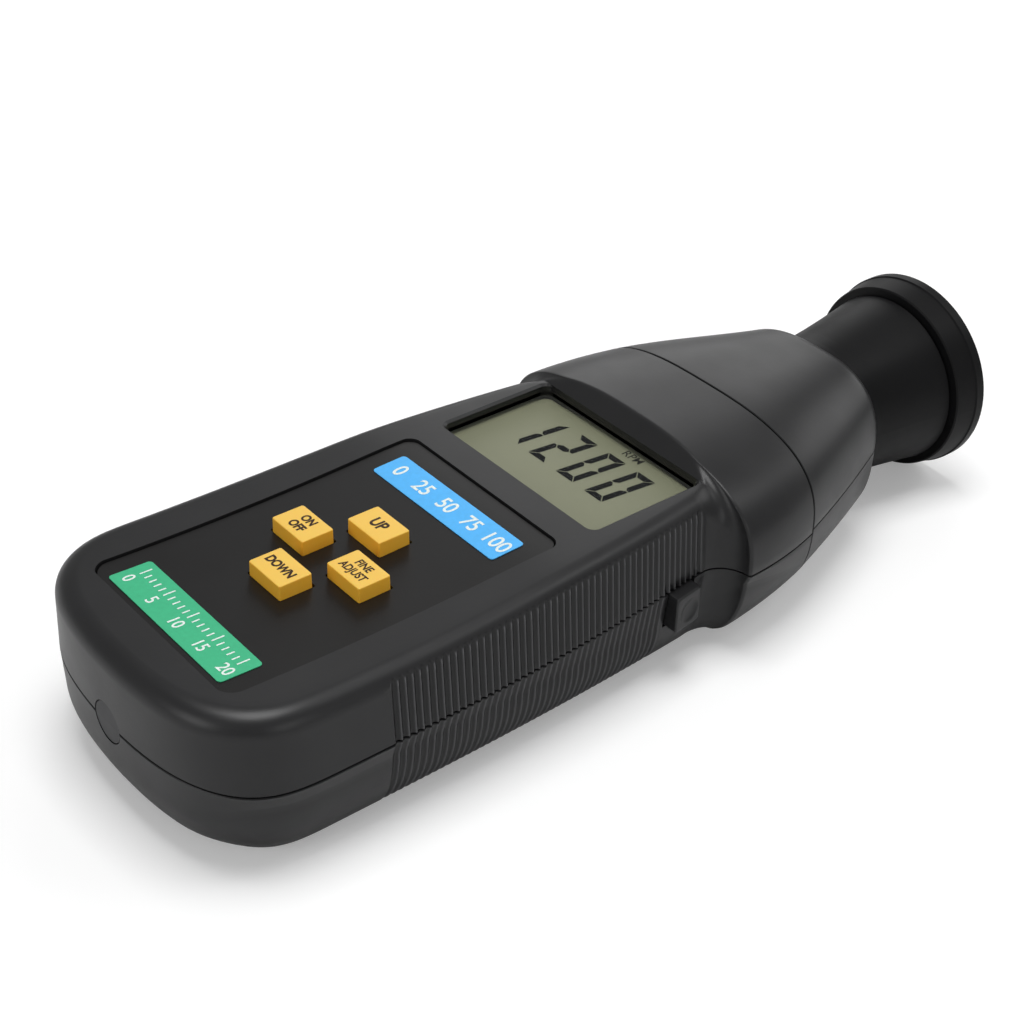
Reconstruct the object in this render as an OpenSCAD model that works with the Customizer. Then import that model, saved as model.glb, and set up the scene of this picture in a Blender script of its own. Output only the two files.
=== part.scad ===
/* Handheld digital stroboscope, millimetres.
   X points to the user's right, Y to the lamp head, Z out of the display face.
   X = 0 and Y = 0 are the middle of the outline; the lamp ring touches Z = 0. */

/* [Housing] */
// width at the shoulder, the widest place
shoulder_w = 75; // [73:0.5:78]
// width at the joint of the nose cap
split_w = 68.6; // [66:0.2:71]
// room beside the row of cells, on each side
grip_room = 6.7; // [6.5:0.1:7.6]
// room beside the display opening at the waist, on each side
waist_room = 7; // [6.6:0.1:8]
// length of the tail behind the battery bay
tail_l = 19.6; // [19:0.2:24]
// length between the battery bay and the display opening
mid_l = 11.6; // [11.2:0.2:16]
// length from the shoulder to the nose cap
shoulder_l = 21; // [19:0.5:25]
// length of the nose cap
nose_l = 34.7; // [32:0.1:37]
// wall and room under the lamp barrel at the nose
nose_floor = 2.8; // [2.5:0.05:3.1]
// wall and room over the lamp barrel at the nose
nose_roof = 2.9; // [2.8:0.05:3.3]
// rise of the crowned nose above the display plane
crest_h = 3.3; // [2.4:0.1:4]
// depth of the hollow along the keypad
dip = 1.1; // [0.6:0.1:1.4]
// wall thickness of the shells
wall = 2.0; // [1.8:0.1:2.2]
// pitch of the grip grooves
rib_pitch = 1.6; // [1.5:0.1:2.4]
// depth of the grip grooves
rib_d = 0.45; // [0.3:0.05:0.6]

/* [Keypad] */
// key size across
key_w = 10.35; // [9:0.05:11.5]
// key size along
key_l = 7.2; // [6:0.1:8]
// height of a key above the faceplate
key_rise = 2.9; // [2:0.1:3.6]
// key travel
key_travel = 1.0; // [0.5:0.1:1.1]
// half distance between the left and right keys
keys_dx = 9.1; // [8.4:0.1:10]
// distance of the up and down keys from the middle row
keys_dy = 11; // [10.4:0.1:12]
// greatest width of the faceplate
plate_w = 47.8; // [46:0.2:50]

/* [Display] */
// width of the display opening
disp_w = 47.2; // [44:0.2:48]
// length of the display opening
disp_l = 28.2; // [26:0.2:28.6]
// depth of the window below the display plane
disp_depth = 2.6; // [2.4:0.1:3]

/* [Lamp head] */
// diameter of the lamp ring
head_d = 44.8; // [44:0.2:46]
// length of the lamp ring
ring_l = 8.3; // [8:0.1:10]
// diameter of the barrel where it leaves the nose
barrel_d = 33.2; // [33:0.1:33.6]
// length of the barrel between the nose cap and the ring
barrel_l = 24.6; // [23:0.1:28]
// step from the barrel up to the ring's rim
ring_step = 2.9; // [2.5:0.1:3.2]

/* [Trigger] */
// length of the side trigger
trig_l = 9.5; // [8:0.1:10]
// height of the side trigger
trig_h = 8.1; // [7:0.1:8.6]
// distance the trigger stands out of the waist
trig_out = 3.8; // [3:0.1:4.6]
// trigger travel
trig_travel = 1.8; // [1:0.1:1.9]

/* [Battery] */
// cell diameter
cell_d = 14.5; // [13.5:0.1:14.6]
// cell length
cell_l = 50.5; // [49:0.1:51]

/* [Fit] */
// gap around moving pieces
run_gap = 0.35; // [0.3:0.01:0.4]
// gap between pieces that are seated
seat_gap = 0.1; // [0.05:0.01:0.15]

/* [Hidden] */
$fn = 64;

// lengths along the lamp axis and heights over the ring's lowest point
bay_gap = 5.2;
bay_l = cell_l + 2 * bay_gap;
hood_l = 2.1;
scoop_l = 6;
total_l = tail_l + bay_l + mid_l + disp_l + hood_l + shoulder_l + nose_l + barrel_l + ring_l;
tail_y = -total_l / 2;
front_y = total_l / 2;
bay_y0 = tail_y + tail_l;
bay_y1 = bay_y0 + bay_l;
disp_y0 = bay_y1 + mid_l;
disp_y1 = disp_y0 + disp_l;
disp_y = (disp_y0 + disp_y1) / 2;
shoulder_y = disp_y1 + hood_l;
waist_y = shoulder_y - scoop_l;
split_y = shoulder_y + shoulder_l;
nose_y = split_y + nose_l;
ring_y = nose_y + barrel_l;
axis_z = head_d / 2;
tray_t = 1.5;
cell_lift = 0.8;
cell_play = 0.3;
bay_h = wall + cell_lift + cell_d + cell_play + tray_t + cell_play;
lower_h = max(barrel_d / 2 + nose_floor, bay_h);
back_z = axis_z - lower_h;
crest_z = axis_z + barrel_d / 2 + nose_roof;
display_z = crest_z - crest_h;
floor_z = back_z + wall;

// plan outline: tail, grip, waist, shoulder, nose joint
cells = 4;
cell_pitch = cell_d + 0.05;
row_w = cells * cell_pitch;
grip_w = row_w + 2 * grip_room;
waist_w = disp_w + 2 * waist_room;
tail_bow = 5.2;
tail_depth = 23;
side_y = tail_y + tail_bow + tail_depth;
grip_bend = 2.5;
grip_taper = (grip_w - waist_w) / 2 / pow(waist_y - side_y, grip_bend);
shoulder_taper = (shoulder_w - split_w) / 2 / pow(split_y - shoulder_y, 2);
nose_rim = 3.65;
nose_curve = 0.0018;
nose_slope = (split_w / 2 - barrel_d / 2 - nose_rim) / nose_l - nose_curve * nose_l;
nose_round = 4.3;
nose_stop = 50;

// section shape: draft, edge rounding, fullness of the crowned sections
upper_draft = 1;
lower_draft = 4;
draft_fall = 0.5;
tail_draft = 0.2;
upper_r = 4.3;
lower_r = 6.3;
tail_r = 12.2;
crown_y0 = waist_y - 3.4;
crown_y1 = split_y + 11.6;
crown_n = 2.86;
nose_n = 2.75;
nose_drop = 2;
wall_steps = 2;
round_steps = 6;
flat_steps = 4;
last = wall_steps + round_steps + flat_steps;
edge = wall_steps + round_steps;
tail_steps = 13;
grip_steps = 9;
scoop_steps = 6;
shoulder_steps = 5;
nose_steps = 7;
tip_steps = 4;

// grip grooves
rib_y0 = tail_y + 38;
rib_w = 1.2;

// hollow of the face
dip_y = tail_y + 40;
dip_r = 650;

// faceplate and labels
plate_t = 0.5;
plate_sink = 0.3;
plate_y0 = tail_y + 8.6;
plate_y1 = disp_y0 - 7.7;
plate_bow = 3.4;
plate_waist = 0.03;
plate_r = 4;
label_t = 0.15;
label_w = 38.1;
blue_y = plate_y1 - 8.95;
blue_l = 7.9;
green_y = plate_y0 + 8.3;
green_l = 9;

// display stack
disp_r = 2.6;
disp_lip = 1.5;
window_z = display_z - disp_depth;
window_t = 1;
holder_w = disp_w + 2 * disp_lip + 1;
holder_l = disp_l + 2 * disp_lip + 1;
panel_t = 2.8;
panel_z = window_z - window_t - panel_t;
frame_w = 2.6;
board_t = 1.6;
board_z = panel_z - 4.8 - board_t;
board_top = board_z + board_t;
board_w = disp_w + 6.8;
board_y0 = tail_y + 20.5;
board_y1 = disp_y1 + 2;
strip_w = 2.6;
strip_l = 46;
strip_ys = [disp_y0 + 0.6, disp_y1 - 0.6];

// keys
key_y = (plate_y0 + plate_y1) / 2 + 1.9;
key_r = 1;
flange_t = 1.2;
flange_out = 1;
key_spots = [[-keys_dx, key_y], [0, key_y + keys_dy], [0, key_y - keys_dy], [keys_dx, key_y]];
flange_top = face_z(key_y) - wall - 0.35;
stem_z = flange_top - flange_t - 1.4;
plunger_z = stem_z - key_travel - 0.1;

// fixings
screw_r = 1.3;
head_r = 2.7;
head_t = 2;
seat_z = back_z + 9;
screw_top = axis_z + 9;
boss_r = 4.2;
post_r = 3.2;
sink_r = 3;
screw_spots = [[grip_w / 2 - 16.7, tail_y + 13.6], [waist_w / 2 - 8.6, bay_y1 + 5.9],
               [shoulder_w / 2 - 14.5, shoulder_y + 9.6]];
nose_spot = [13, split_y + 9];
nose_seat_z = back_z + 7;
nose_screw_top = axis_z + 7;
board_post_r = 2.6;
board_screw_r = 1;
board_spots = [[22, key_y - 21], [22, key_y + 19]];

// side trigger
trig_y = waist_y - 10.6;
trig_top = axis_z - run_gap;
trig_x = waist_w / 2 + trig_out;
trig_back = waist_w / 2 - 6.2;
trig_lip = 1.2;
trig_plate = 1.4;
switch_x = trig_back - 0.2 - trig_travel - 0.1;

// battery bay
cell_z = floor_z + cell_lift + cell_d / 2;
tray_z = cell_z + cell_d / 2 + cell_play;
door_w = row_w - 3.4;
door_y0 = bay_y0 + 0.5;
door_y1 = bay_y1 - 0.5;
door_top = back_z + 4.6;
tab_x = 13;
tab_w = 6;
tab_t = 1.5;
tab_l = 2.2;
tray_w = row_w - 0.2;
hinge_r = 0.8;
coil_wire = 0.3;
coil_turns = 4.5;
coil_sides = 6;
turn_steps = 8;

// lamp head
flare_d = head_d - 2 * ring_step;
lip_y = front_y - 2.1;
spigot_r = flare_d / 2 - 0.7;
spigot_y = lip_y - 2.8;
groove_w = 0.7;
band_y = ring_y + 0.62 * ring_l;
bore_step = 1.5;
barrel_y = nose_y - 13;
stop_y = nose_y - 9;
stop_l = 2.4;
stop_r = barrel_d / 2 + 0.4;
reflector_t = 0.9;
reflector_y = front_y - 29;
reflector_r = spigot_r - bore_step - 0.7;
lamp_hole_r = 5;
socket_y = reflector_y - 14;
lamp_y = reflector_y - 4;

// tail plug
plug_r = 4.15;
plug_lean = 6;
plug_sink = 0.15;

// power supply
power_z = floor_z + 2;
power_y0 = disp_y0 - 0.6;
power_y1 = shoulder_y + 4;
power_top = power_z + board_t;
cap_r = (board_z - power_top - 0.4) / 2;

// smooth rise from 0 at a to 1 at b
function ramp(a, b, v) = let (t = min(1, max(0, (v - a) / (b - a)))) t * t * (3 - 2 * t);

// height of the shell's face along the keypad and the display
function face_z(y) = min(display_z, display_z - dip + pow(y - dip_y, 2) / (2 * dip_r));

// half width of the housing at the parting plane
function scoop(y) = 1 - sqrt(max(0, 1 - pow((y - waist_y) / (shoulder_y - waist_y), 2)));
function side_x(y) =
    y < waist_y ? grip_w / 2 - grip_taper * pow(max(0, y - side_y), grip_bend) :
    y < shoulder_y ? waist_w / 2 + (shoulder_w - waist_w) / 2 * scoop(y) :
    y < split_y ? shoulder_w / 2 - shoulder_taper * pow(y - shoulder_y, 2) :
    split_w / 2 - nose_slope * (y - split_y) - nose_curve * pow(y - split_y, 2);

// one half of a section as [inset from the side, height over the parting plane]:
// a drafted wall with a rounded edge, blended into a fuller crowned form
function box_pt(j, w, h, draft, r) =
    j <= wall_steps ? [draft * j / wall_steps, (h - r) * j / wall_steps] :
    j <= edge ?
        let (a = 90 * (j - wall_steps) / round_steps)
        [draft + r * (1 - cos(a)), h - r * (1 - sin(a))] :
    [w - (w - draft - r) * (last - j) / flat_steps, h];
function crown_pt(j, w, h, n) =
    let (a = 90 * j / last)
    [w - w * pow(cos(a), 2 / n), h * pow(sin(a), 2 / n)];
function half_section(w, h, draft, r, n, b) =
    [for (j = [0 : last]) box_pt(j, w, h, draft, r) * (1 - b) + crown_pt(j, w, h, n) * b];

// full section at one y: right side, over the top (up = 1) or the bottom (up = -1), left side
function mirrored(pts) = concat(pts, [for (i = [len(pts) - 2 : -1 : 0]) [-pts[i].x, pts[i].y, pts[i].z]]);
function section(y, w, up, pts) = mirrored([for (p = pts) [w - p[0], y, axis_z + up * p[1]]]);

// a section that follows the round of the tail; a is the angle from the tail's middle
function tail_pt(a, d) = [(grip_w / 2 - d) * sqrt(sin(a)),
    tail_y + d + (tail_bow * sin(a) + tail_depth * (1 - sqrt(cos(a)))) * (1 - d / (tail_bow + tail_depth))];
function tail_h(up, y, t) = (up > 0 ? face_z(y) - axis_z : lower_h) - t;
function tail_half(a, up, t) = [for (j = [0 : last])
    let (turn = ramp(15, 65, a),
         draft = tail_draft + ((up > 0 ? upper_draft : lower_draft) - tail_draft) * turn,
         r = (up > 0 ? upper_r : tail_r + (lower_r - tail_r) * turn) - t,
         k = min(j, edge), d0 = box_pt(k, grip_w / 2, 15, draft, r)[0], q = tail_pt(a, t + d0),
         h = tail_h(up, q.y, t), s = j > edge ? (last - j) / flat_steps : 1)
    [q.x * s, q.y, axis_z + up * box_pt(k, grip_w / 2, h, draft, r)[1]]];

// sections along the sides; t is the distance inside the outer face
function inner_x(y, t) = min(side_x(y), side_x(y - t)) - t;
function side_draft(y, up) =
    up > 0 ? upper_draft : max(1, lower_draft - draft_fall * (grip_w / 2 - side_x(y)));
function side_half(y, up, t) =
    let (w = inner_x(y, t),
         b = up > 0 ? ramp(waist_y - 1, shoulder_y, y) : ramp(crown_y0, crown_y1, y),
         rise = t > 0 ? ramp(shoulder_y + 3, shoulder_y + 10, y) : b,
         h = up > 0 ? face_z(y) + crest_h * rise - axis_z - t : lower_h - t,
         r = (up > 0 ? upper_r : lower_r) - t)
    section(y, w, up, half_section(w, h, side_draft(y, up), r, up > 0 ? crown_n : nose_n, b));

function shell_sections(up, t) = concat(
    [for (k = [0 : tail_steps]) mirrored(tail_half(45 - 45 * cos(180 * max(k, 0.6) / tail_steps), up, t))],
    [for (k = [1 : grip_steps]) side_half(side_y + (waist_y - side_y) * k / grip_steps, up, t)],
    [for (k = [1 : scoop_steps])
        side_half(waist_y + (shoulder_y - waist_y + (t > 0 ? t : 0)) * sin(90 * k / scoop_steps), up, t)],
    [for (k = [1 : shoulder_steps])
        let (l = split_y - shoulder_y - (t > 0 ? t - 1 : 0))
        side_half(shoulder_y + t + l * k / shoulder_steps, up, t)]);

// nose sections, rounded off toward the barrel
function nose_half(y, trim, up, t) =
    let (w = side_x(y) - t - trim, b = up > 0 ? 1 : ramp(crown_y0, crown_y1, y),
         slim = ramp(split_y, nose_y, y),
         h = (up > 0 ? crest_z - axis_z - nose_drop * slim : lower_h) - t - trim,
         n = up > 0 ? crown_n + (nose_n - crown_n) * slim : nose_n, draft = side_draft(split_y, up))
    section(y, w, up, half_section(w, h, draft, lower_r - t, n, b));
nose_turn = nose_y - nose_round * sin(nose_stop);
function nose_sections(up) = concat(
    [for (k = [0 : nose_steps]) nose_half(split_y + (nose_turn - split_y) * k / nose_steps, 0, up, 0)],
    [for (k = [1 : tip_steps])
        let (a = nose_stop * k / tip_steps)
        nose_half(nose_turn + nose_round * sin(a), nose_round * (1 - cos(a)), up, 0)]);
function nose_inside(up, t) =
    [for (k = [0 : nose_steps])
        nose_half(split_y - 1 + (nose_turn - 0.5 - split_y + 1) * k / nose_steps, 0, up, t)];

// a closed solid through the sections; the tail end is closed in level strips
module loft(s, up, flat_tail) {
    n = len(s[0]);
    k_end = len(s) - 1;
    pts = [for (c = s) each c];
    sides = [for (k = [0 : k_end - 1], p = [0 : n - 2])
        let (i = k * n + p)
        each [[i, i + 1, i + n + 1], [i, i + n + 1, i + n]]];
    base = [for (k = [0 : k_end - 1]) [k * n, (k + 1) * n, (k + 1) * n + n - 1, k * n + n - 1]];
    nose = [for (p = [0 : n - 1]) k_end * n + p];
    tail = flat_tail ? [[for (p = [n - 1 : -1 : 0]) p]] : concat(
        [for (p = [0 : edge - 2]) [p, n - 1 - p, n - 2 - p, p + 1]],
        [concat([edge - 1, n - edge], [for (p = [n - 1 - edge : -1 : edge]) p])]);
    faces = concat(sides, base, [nose], tail);
    turned = [for (f = faces) [for (i = [len(f) : -1 : 1]) f[i % len(f)]]];
    polyhedron(pts, up > 0 ? faces : turned, convexity = 8);
}

// plain helpers
module sides() for (m = [0, 1]) mirror([m, 0, 0]) children();
module on_axis(y) translate([0, y, axis_z]) rotate([-90, 0, 0]) children();
module block(x0, x1, y0, y1, z0, z1) translate([x0, y0, z0]) cube([x1 - x0, y1 - y0, z1 - z0]);
module across(w, pts) translate([-w / 2, 0, 0]) rotate([90, 0, 90]) linear_extrude(w) polygon(pts);
module post(p, r, z0, z1) translate([p.x, p.y, z0]) cylinder(r = r, h = z1 - z0);
function corner(cx, cy, r, a0) = [for (i = [0 : 6]) [cx + r * cos(a0 + 15 * i), cy + r * sin(a0 + 15 * i)]];
function round_rect(w, l, r) = concat(corner(w / 2 - r, l / 2 - r, r, 0), corner(r - w / 2, l / 2 - r, r, 90),
    corner(r - w / 2, r - l / 2, r, 180), corner(w / 2 - r, r - l / 2, r, 270));

// faceplate outline with bowed tail edge and gently bowed sides
function plate_pts(g) =
    let (w = plate_w + 2 * g, l = plate_y1 - plate_y0 + 2 * g, m = (plate_y0 + plate_y1) / 2)
    [for (p = round_rect(w, l, plate_r))
        let (bow = p.y < 0 ? plate_bow * pow(2 * p.x / w, 2) : 0)
        [p.x * (1 - plate_waist * pow(2 * p.y / l, 2)), m + p.y + bow]];
module plate_outline(g) polygon(plate_pts(g));
module face_drum(depth) translate([0, dip_y, display_z - dip + dip_r])
    rotate([0, 90, 0]) cylinder(r = dip_r + depth, h = 80, center = true, $fn = 360);
module face_band(depth, t) difference() {
    face_drum(depth + t);
    face_drum(depth);
}
module raised(z0, z1) translate([0, 0, z0]) linear_extrude(z1 - z0) children();

module key_holes(g) for (p = key_spots) translate([p.x, p.y, 0])
    polygon(round_rect(key_w + 2 * g, key_l + 2 * g, key_r + g));

// grip grooves: V cuts that lean with the wall and run out in the rounded edge
module rib_cuts(up, y1) {
    r = up > 0 ? upper_r : lower_r;
    sides() for (y = [rib_y0 : rib_pitch : y1]) {
        rise = tail_h(up, y, 0) - r;
        translate([side_x(y), y, axis_z]) mirror([0, 0, up > 0 ? 0 : 1])
            rotate([0, -atan(side_draft(y, up) / rise), 0]) translate([0, 0, -0.5]) linear_extrude(rise + r)
                polygon([[-rib_d, 0], [rib_d, -rib_w], [rib_d, rib_w]]);
    }
}

// shells
module skin(up) difference() {
    loft(shell_sections(up, 0), up, false);
    translate([0, 0, -up * 0.01]) loft(shell_sections(up, wall), up, false);
}
// posts end in the middle of the shell's wall
module inside_shell(up) intersection() {
    loft(shell_sections(up, wall / 2), up, false);
    children();
}
module plug_hole() on_axis(tail_y - 1) cylinder(r = plug_r + seat_gap, h = 7);
module hood_cut() across(shoulder_w + 2, [[disp_y0, display_z], [disp_y1, display_z],
    [disp_y1 + 6, display_z + 6], [disp_y0, display_z + 6]]);

module upper_shell() color("#3d3d3f") difference() {
    union() {
        skin(1);
        translate([0, disp_y, 0]) raised(window_z, display_z - wall / 2)
            polygon(round_rect(disp_w + 2 * frame_w, disp_l + 2 * frame_w, disp_r));
        inside_shell(1) sides() for (p = screw_spots) post(p, post_r, axis_z, crest_z);
        sides() for (p = board_spots) post(p, board_post_r, board_top, face_z(p.y) - 1.2);
    }
    hood_cut();
    rib_cuts(1, waist_y - 0.4);
    translate([0, disp_y, 0]) raised(axis_z - 1, window_z)
        square([holder_w + 2 * seat_gap, holder_l + 2 * seat_gap], center = true);
    intersection() {
        raised(display_z - 6, display_z + 6) plate_outline(seat_gap);
        face_drum(plate_t + plate_sink);
    }
    raised(display_z - 8, display_z + 4) key_holes(run_gap);
    translate([0, disp_y, 0]) raised(window_z - 1, display_z + 6)
        polygon(round_rect(disp_w, disp_l, disp_r));
    sides() for (p = screw_spots) post(p, screw_r + 0.05, axis_z - 1, screw_top + 1);
    sides() for (p = board_spots) post(p, board_screw_r + 0.05, board_top - 1, board_top + 6);
    plug_hole();
}

module trigger_slot() block(trig_back, shoulder_w / 2 + 1, trig_y - run_gap, trig_y + trig_l + run_gap,
    trig_top - trig_h - run_gap, axis_z + 1);
module door_box(g, z1) block(-door_w / 2 - g, door_w / 2 + g, door_y0 - g, door_y1 + g, back_z - 1, z1);

module lower_shell() color("#38383a") difference() {
    union() {
        skin(-1);
        inside_shell(-1) sides() {
            for (p = screw_spots) post(p, boss_r, back_z, axis_z);
            for (y = [power_y0 + 4, power_y1 - 4]) post([16, y], 2.4, back_z, power_z);
        }
    }
    sides() for (p = screw_spots) {
        post(p, sink_r, back_z - 1, seat_z);
        post(p, screw_r + 0.3, seat_z - 1, axis_z + 1);
    }
    door_box(run_gap, door_top + run_gap);
    rib_cuts(-1, trig_y - 1.2);
    trigger_slot();
    plug_hole();
}

// nose cap
module nose_shell(up) difference() {
    union() {
        difference() {
            loft(nose_sections(up), up, true);
            translate([0, 0, -up * 0.01]) loft(nose_inside(up, wall), up, true);
        }
        intersection() {
            loft(nose_inside(up, wall / 2), up, true);
            sides() {
                if (up > 0) post(nose_spot, post_r, axis_z, crest_z);
                if (up < 0) post(nose_spot, boss_r, back_z, axis_z);
            }
        }
    }
    on_axis(barrel_y - 1) cylinder(r = barrel_d / 2 + seat_gap, h = nose_y - barrel_y + 2);
    on_axis(stop_y - stop_l - seat_gap) cylinder(r = stop_r + seat_gap, h = stop_l + 2 * seat_gap);
    sides() if (up > 0) post(nose_spot, screw_r + 0.05, axis_z - 1, nose_screw_top + 1);
    sides() if (up < 0) {
        post(nose_spot, sink_r, back_z - 1, nose_seat_z);
        post(nose_spot, screw_r + 0.3, nose_seat_z - 1, axis_z + 1);
    }
}
module nose_cap_top() color("#3a3a3c") nose_shell(1);
module nose_cap_bottom() color("#363638") nose_shell(-1);

// face
module faceplate() color("#2c2b2d") difference() {
    intersection() {
        raised(display_z - 6, display_z + 4) plate_outline(0);
        face_band(plate_sink, plate_t);
    }
    raised(display_z - 8, display_z + 6) key_holes(run_gap);
}
module label(y, l) intersection() {
    translate([0, y, 0]) raised(display_z - 6, display_z + 4) polygon(round_rect(label_w, l, 0.8));
    face_band(plate_sink - label_t, label_t);
}
module label_blue() color("#4cb2f5") label(blue_y, blue_l);
module label_green() color("#3ab482") label(green_y, green_l);

// display stack
module lcd_plate(z, t) translate([0, disp_y, 0]) raised(z, z + t)
    square([disp_w + 2 * disp_lip, disp_l + 2 * disp_lip], center = true);
module display_window() color("#c8d0cc", 0.4) lcd_plate(window_z - window_t, window_t);
module display_panel() color("#8a8d78") lcd_plate(panel_z, panel_t);
module strips(g) for (y = strip_ys) translate([0, y, 0])
    square([strip_l + 2 * g, strip_w + 2 * g], center = true);
module display_holder() color("#d8d8d2") raised(board_top, panel_z) difference() {
    translate([0, disp_y]) square([holder_w, holder_l], center = true);
    translate([0, disp_y]) square([disp_w - 6, disp_l - 9], center = true);
    strips(seat_gap);
}
module contact_strips() color("#303034") raised(board_top, panel_z) strips(0);

// keys: a cap with eased edges, a flange that keeps it in, a stem to its switch
module key(p) color("#ecbe55") translate([p.x, p.y, 0]) {
    top = face_z(p.y) - plate_sink + key_rise;
    hull() {
        raised(flange_top, top - 0.6) polygon(round_rect(key_w, key_l, key_r));
        raised(flange_top, top) polygon(round_rect(key_w - 1, key_l - 1, key_r));
    }
    raised(flange_top - flange_t, flange_top)
        square([key_w + 2 * flange_out, key_l + 2 * flange_out], center = true);
    translate([0, 0, stem_z]) cylinder(r = 1.6, h = flange_top - flange_t - stem_z);
}
module key_power() key(key_spots[0]);
module key_up() key(key_spots[1]);
module key_down() key(key_spots[2]);
module key_fine() key(key_spots[3]);
module key_switches() color("#222224") for (p = key_spots) translate([p.x, p.y, 0]) {
    raised(board_top, plunger_z - 0.6) square([6, 6], center = true);
    translate([0, 0, plunger_z - 0.6]) cylinder(r = 1.7, h = 0.6);
}

// main board
module main_board() color("#2f6b3c") raised(board_z, board_top) difference() {
    translate([-board_w / 2, board_y0]) square([board_w, board_y1 - board_y0]);
    for (m = [-1, 1], p = screw_spots) translate([m * p.x, p.y]) circle(r = post_r + 0.4);
    for (m = [-1, 1], p = board_spots) translate([m * p.x, p.y]) circle(r = board_screw_r + 0.1);
}
module board_chips() color("#19191b") {
    block(-6, 6, board_y0 + 2, board_y0 + 12.5, board_top, board_top + 1.6);
    block(-19, -11, key_y + 19, key_y + 27, board_top, board_top + 1.6);
    block(9, 19, key_y + 22, key_y + 26, board_top, board_top + 3.4);
}
module board_screws() color("#9a9a98") sides() for (p = board_spots) {
    post(p, 2, board_z - 1.3, board_z);
    post(p, board_screw_r, board_z, board_top + 5);
}

// side trigger with a dished face, kept in by a plate behind the wall
module trigger() color("#333335") difference() {
    union() {
        translate([0, trig_y, trig_top - trig_h]) linear_extrude(trig_h) polygon([
            [trig_back, 0], [trig_x - 0.2, 0], [trig_x, 0.5], [trig_x - 0.8, trig_l - 0.8],
            [trig_x - 1.6, trig_l], [trig_back, trig_l]]);
        block(trig_back - 0.2, trig_back + trig_plate - 0.2, trig_y - trig_lip, trig_y + trig_l + trig_lip,
            trig_top - trig_h - trig_lip, trig_top);
    }
    translate([trig_x + 5.4, trig_y + trig_l / 2, trig_top - trig_h / 2]) sphere(r = 6.4);
}
module trigger_switch() color("#1d1d20") {
    block(switch_x - 8.5, switch_x - 1.2, trig_y, trig_y + trig_l - 0.5, trig_top - 6.8, trig_top - 1);
    translate([switch_x - 1.2, trig_y + trig_l / 2 - 0.5, trig_top - 4]) rotate([0, 90, 0])
        cylinder(r = 1, h = 1.2);
    for (i = [0 : 2]) block(switch_x - 5.2, switch_x - 4.4, trig_y + 1 + 3 * i, trig_y + 1.8 + 3 * i,
        trig_top - 1, board_z);
}

// tail plug, its face cut to the lean of both shells
module plug_wedge() {
    y0 = tail_y + plug_sink;
    up_y = y0 + plug_lean * tail_draft / (face_z(tail_y) - axis_z - upper_r);
    down_y = y0 + plug_lean * tail_draft / (lower_h - tail_r);
    across(4 * plug_r, [[y0, axis_z], [up_y, axis_z + plug_lean], [tail_y + 6, axis_z + plug_lean],
        [tail_y + 6, axis_z - plug_lean], [down_y, axis_z - plug_lean]]);
}
module tail_plug() color("#2e2e30") {
    intersection() {
        on_axis(tail_y) cylinder(r = plug_r, h = 5.4);
        plug_wedge();
    }
    on_axis(tail_y + 4.4) cylinder(r = plug_r + 1, h = 1);
}

// battery bay: a tray over the cells whose end walls stand on the floor
tray_half = [[tray_w / 2 - 5.2, floor_z], [tray_w / 2 - 2, floor_z + 4.4], [tray_w / 2, tray_z + 0.5]];
module tray_wall(y) translate([0, y + tray_t, 0]) rotate([90, 0, 0]) linear_extrude(tray_t)
    polygon(concat(tray_half, [for (i = [2 : -1 : 0]) [-tray_half[i][0], tray_half[i][1]]]));
module battery_tray() color("#3f3f42") {
    difference() {
        union() {
            tray_wall(bay_y0 - tray_t);
            tray_wall(bay_y1);
        }
        sides() block(tab_x - tab_w / 2 - 1, tab_x + tab_w / 2 + 1, bay_y1 - 1, bay_y1 + tray_t + 1,
            floor_z - 1, floor_z + 4.4);
    }
    block(-tray_w / 2, tray_w / 2, bay_y0 - tray_t, bay_y1 + tray_t, tray_z, tray_z + tray_t);
}
module each_cell() for (i = [0 : cells - 1])
    translate([(i - (cells - 1) / 2) * cell_pitch, (bay_y0 + bay_y1) / 2, cell_z])
    rotate([i % 2 == 0 ? -90 : 90, 0, 0]) children();
module battery_cells() color("#c08a3a") each_cell() {
    translate([0, 0, -cell_l / 2]) cylinder(d = cell_d, h = cell_l - 1);
    translate([0, 0, cell_l / 2 - 1]) cylinder(d = 5.4, h = 1);
}
// a coiled cone of wire from the contact plate to the cell
coil_steps = coil_turns * turn_steps;
function coil_at(i) = let (f = i / coil_steps)
    [5 - 2.1 * f, 360 * i / turn_steps, 0.45 + coil_wire + (bay_gap - 0.5 - 2 * coil_wire) * f];
function coil_pt(i, k) = let (c = coil_at(i), b = 360 * k / coil_sides, r = c[0] + coil_wire * cos(b))
    [r * cos(c[1]), r * sin(c[1]), c[2] + coil_wire * sin(b)];
module coil() {
    n = coil_sides;
    pts = [for (i = [0 : coil_steps], k = [0 : n - 1]) coil_pt(i, k)];
    sides = [for (i = [0 : coil_steps - 1], k = [0 : n - 1])
        let (a = i * n + k, b = i * n + (k + 1) % n)
        each [[a, b + n, a + n], [a, b, b + n]]];
    caps = [[for (k = [n - 1 : -1 : 0]) k], [for (k = [0 : n - 1]) coil_steps * n + k]];
    polyhedron(pts, concat(sides, caps), convexity = 10);
}
echo(coil_gap = min([for (i = [0 : coil_steps - turn_steps])
    norm([coil_at(i)[0] - coil_at(i + turn_steps)[0], coil_at(i)[2] - coil_at(i + turn_steps)[2]])
    - 2 * coil_wire]));
module battery_springs() color("#b8b8b4") each_cell() translate([0, 0, -cell_l / 2 - bay_gap]) {
    cylinder(r = 5.4, h = 0.4);
    coil();
}
module battery_contacts() color("#c4c2bc") each_cell() translate([0, 0, cell_l / 2]) {
    translate([0, 0, bay_gap - 0.4]) cylinder(r = 5.4, h = 0.4);
    cylinder(r = 2.2, h = bay_gap - 0.4);
}

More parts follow.
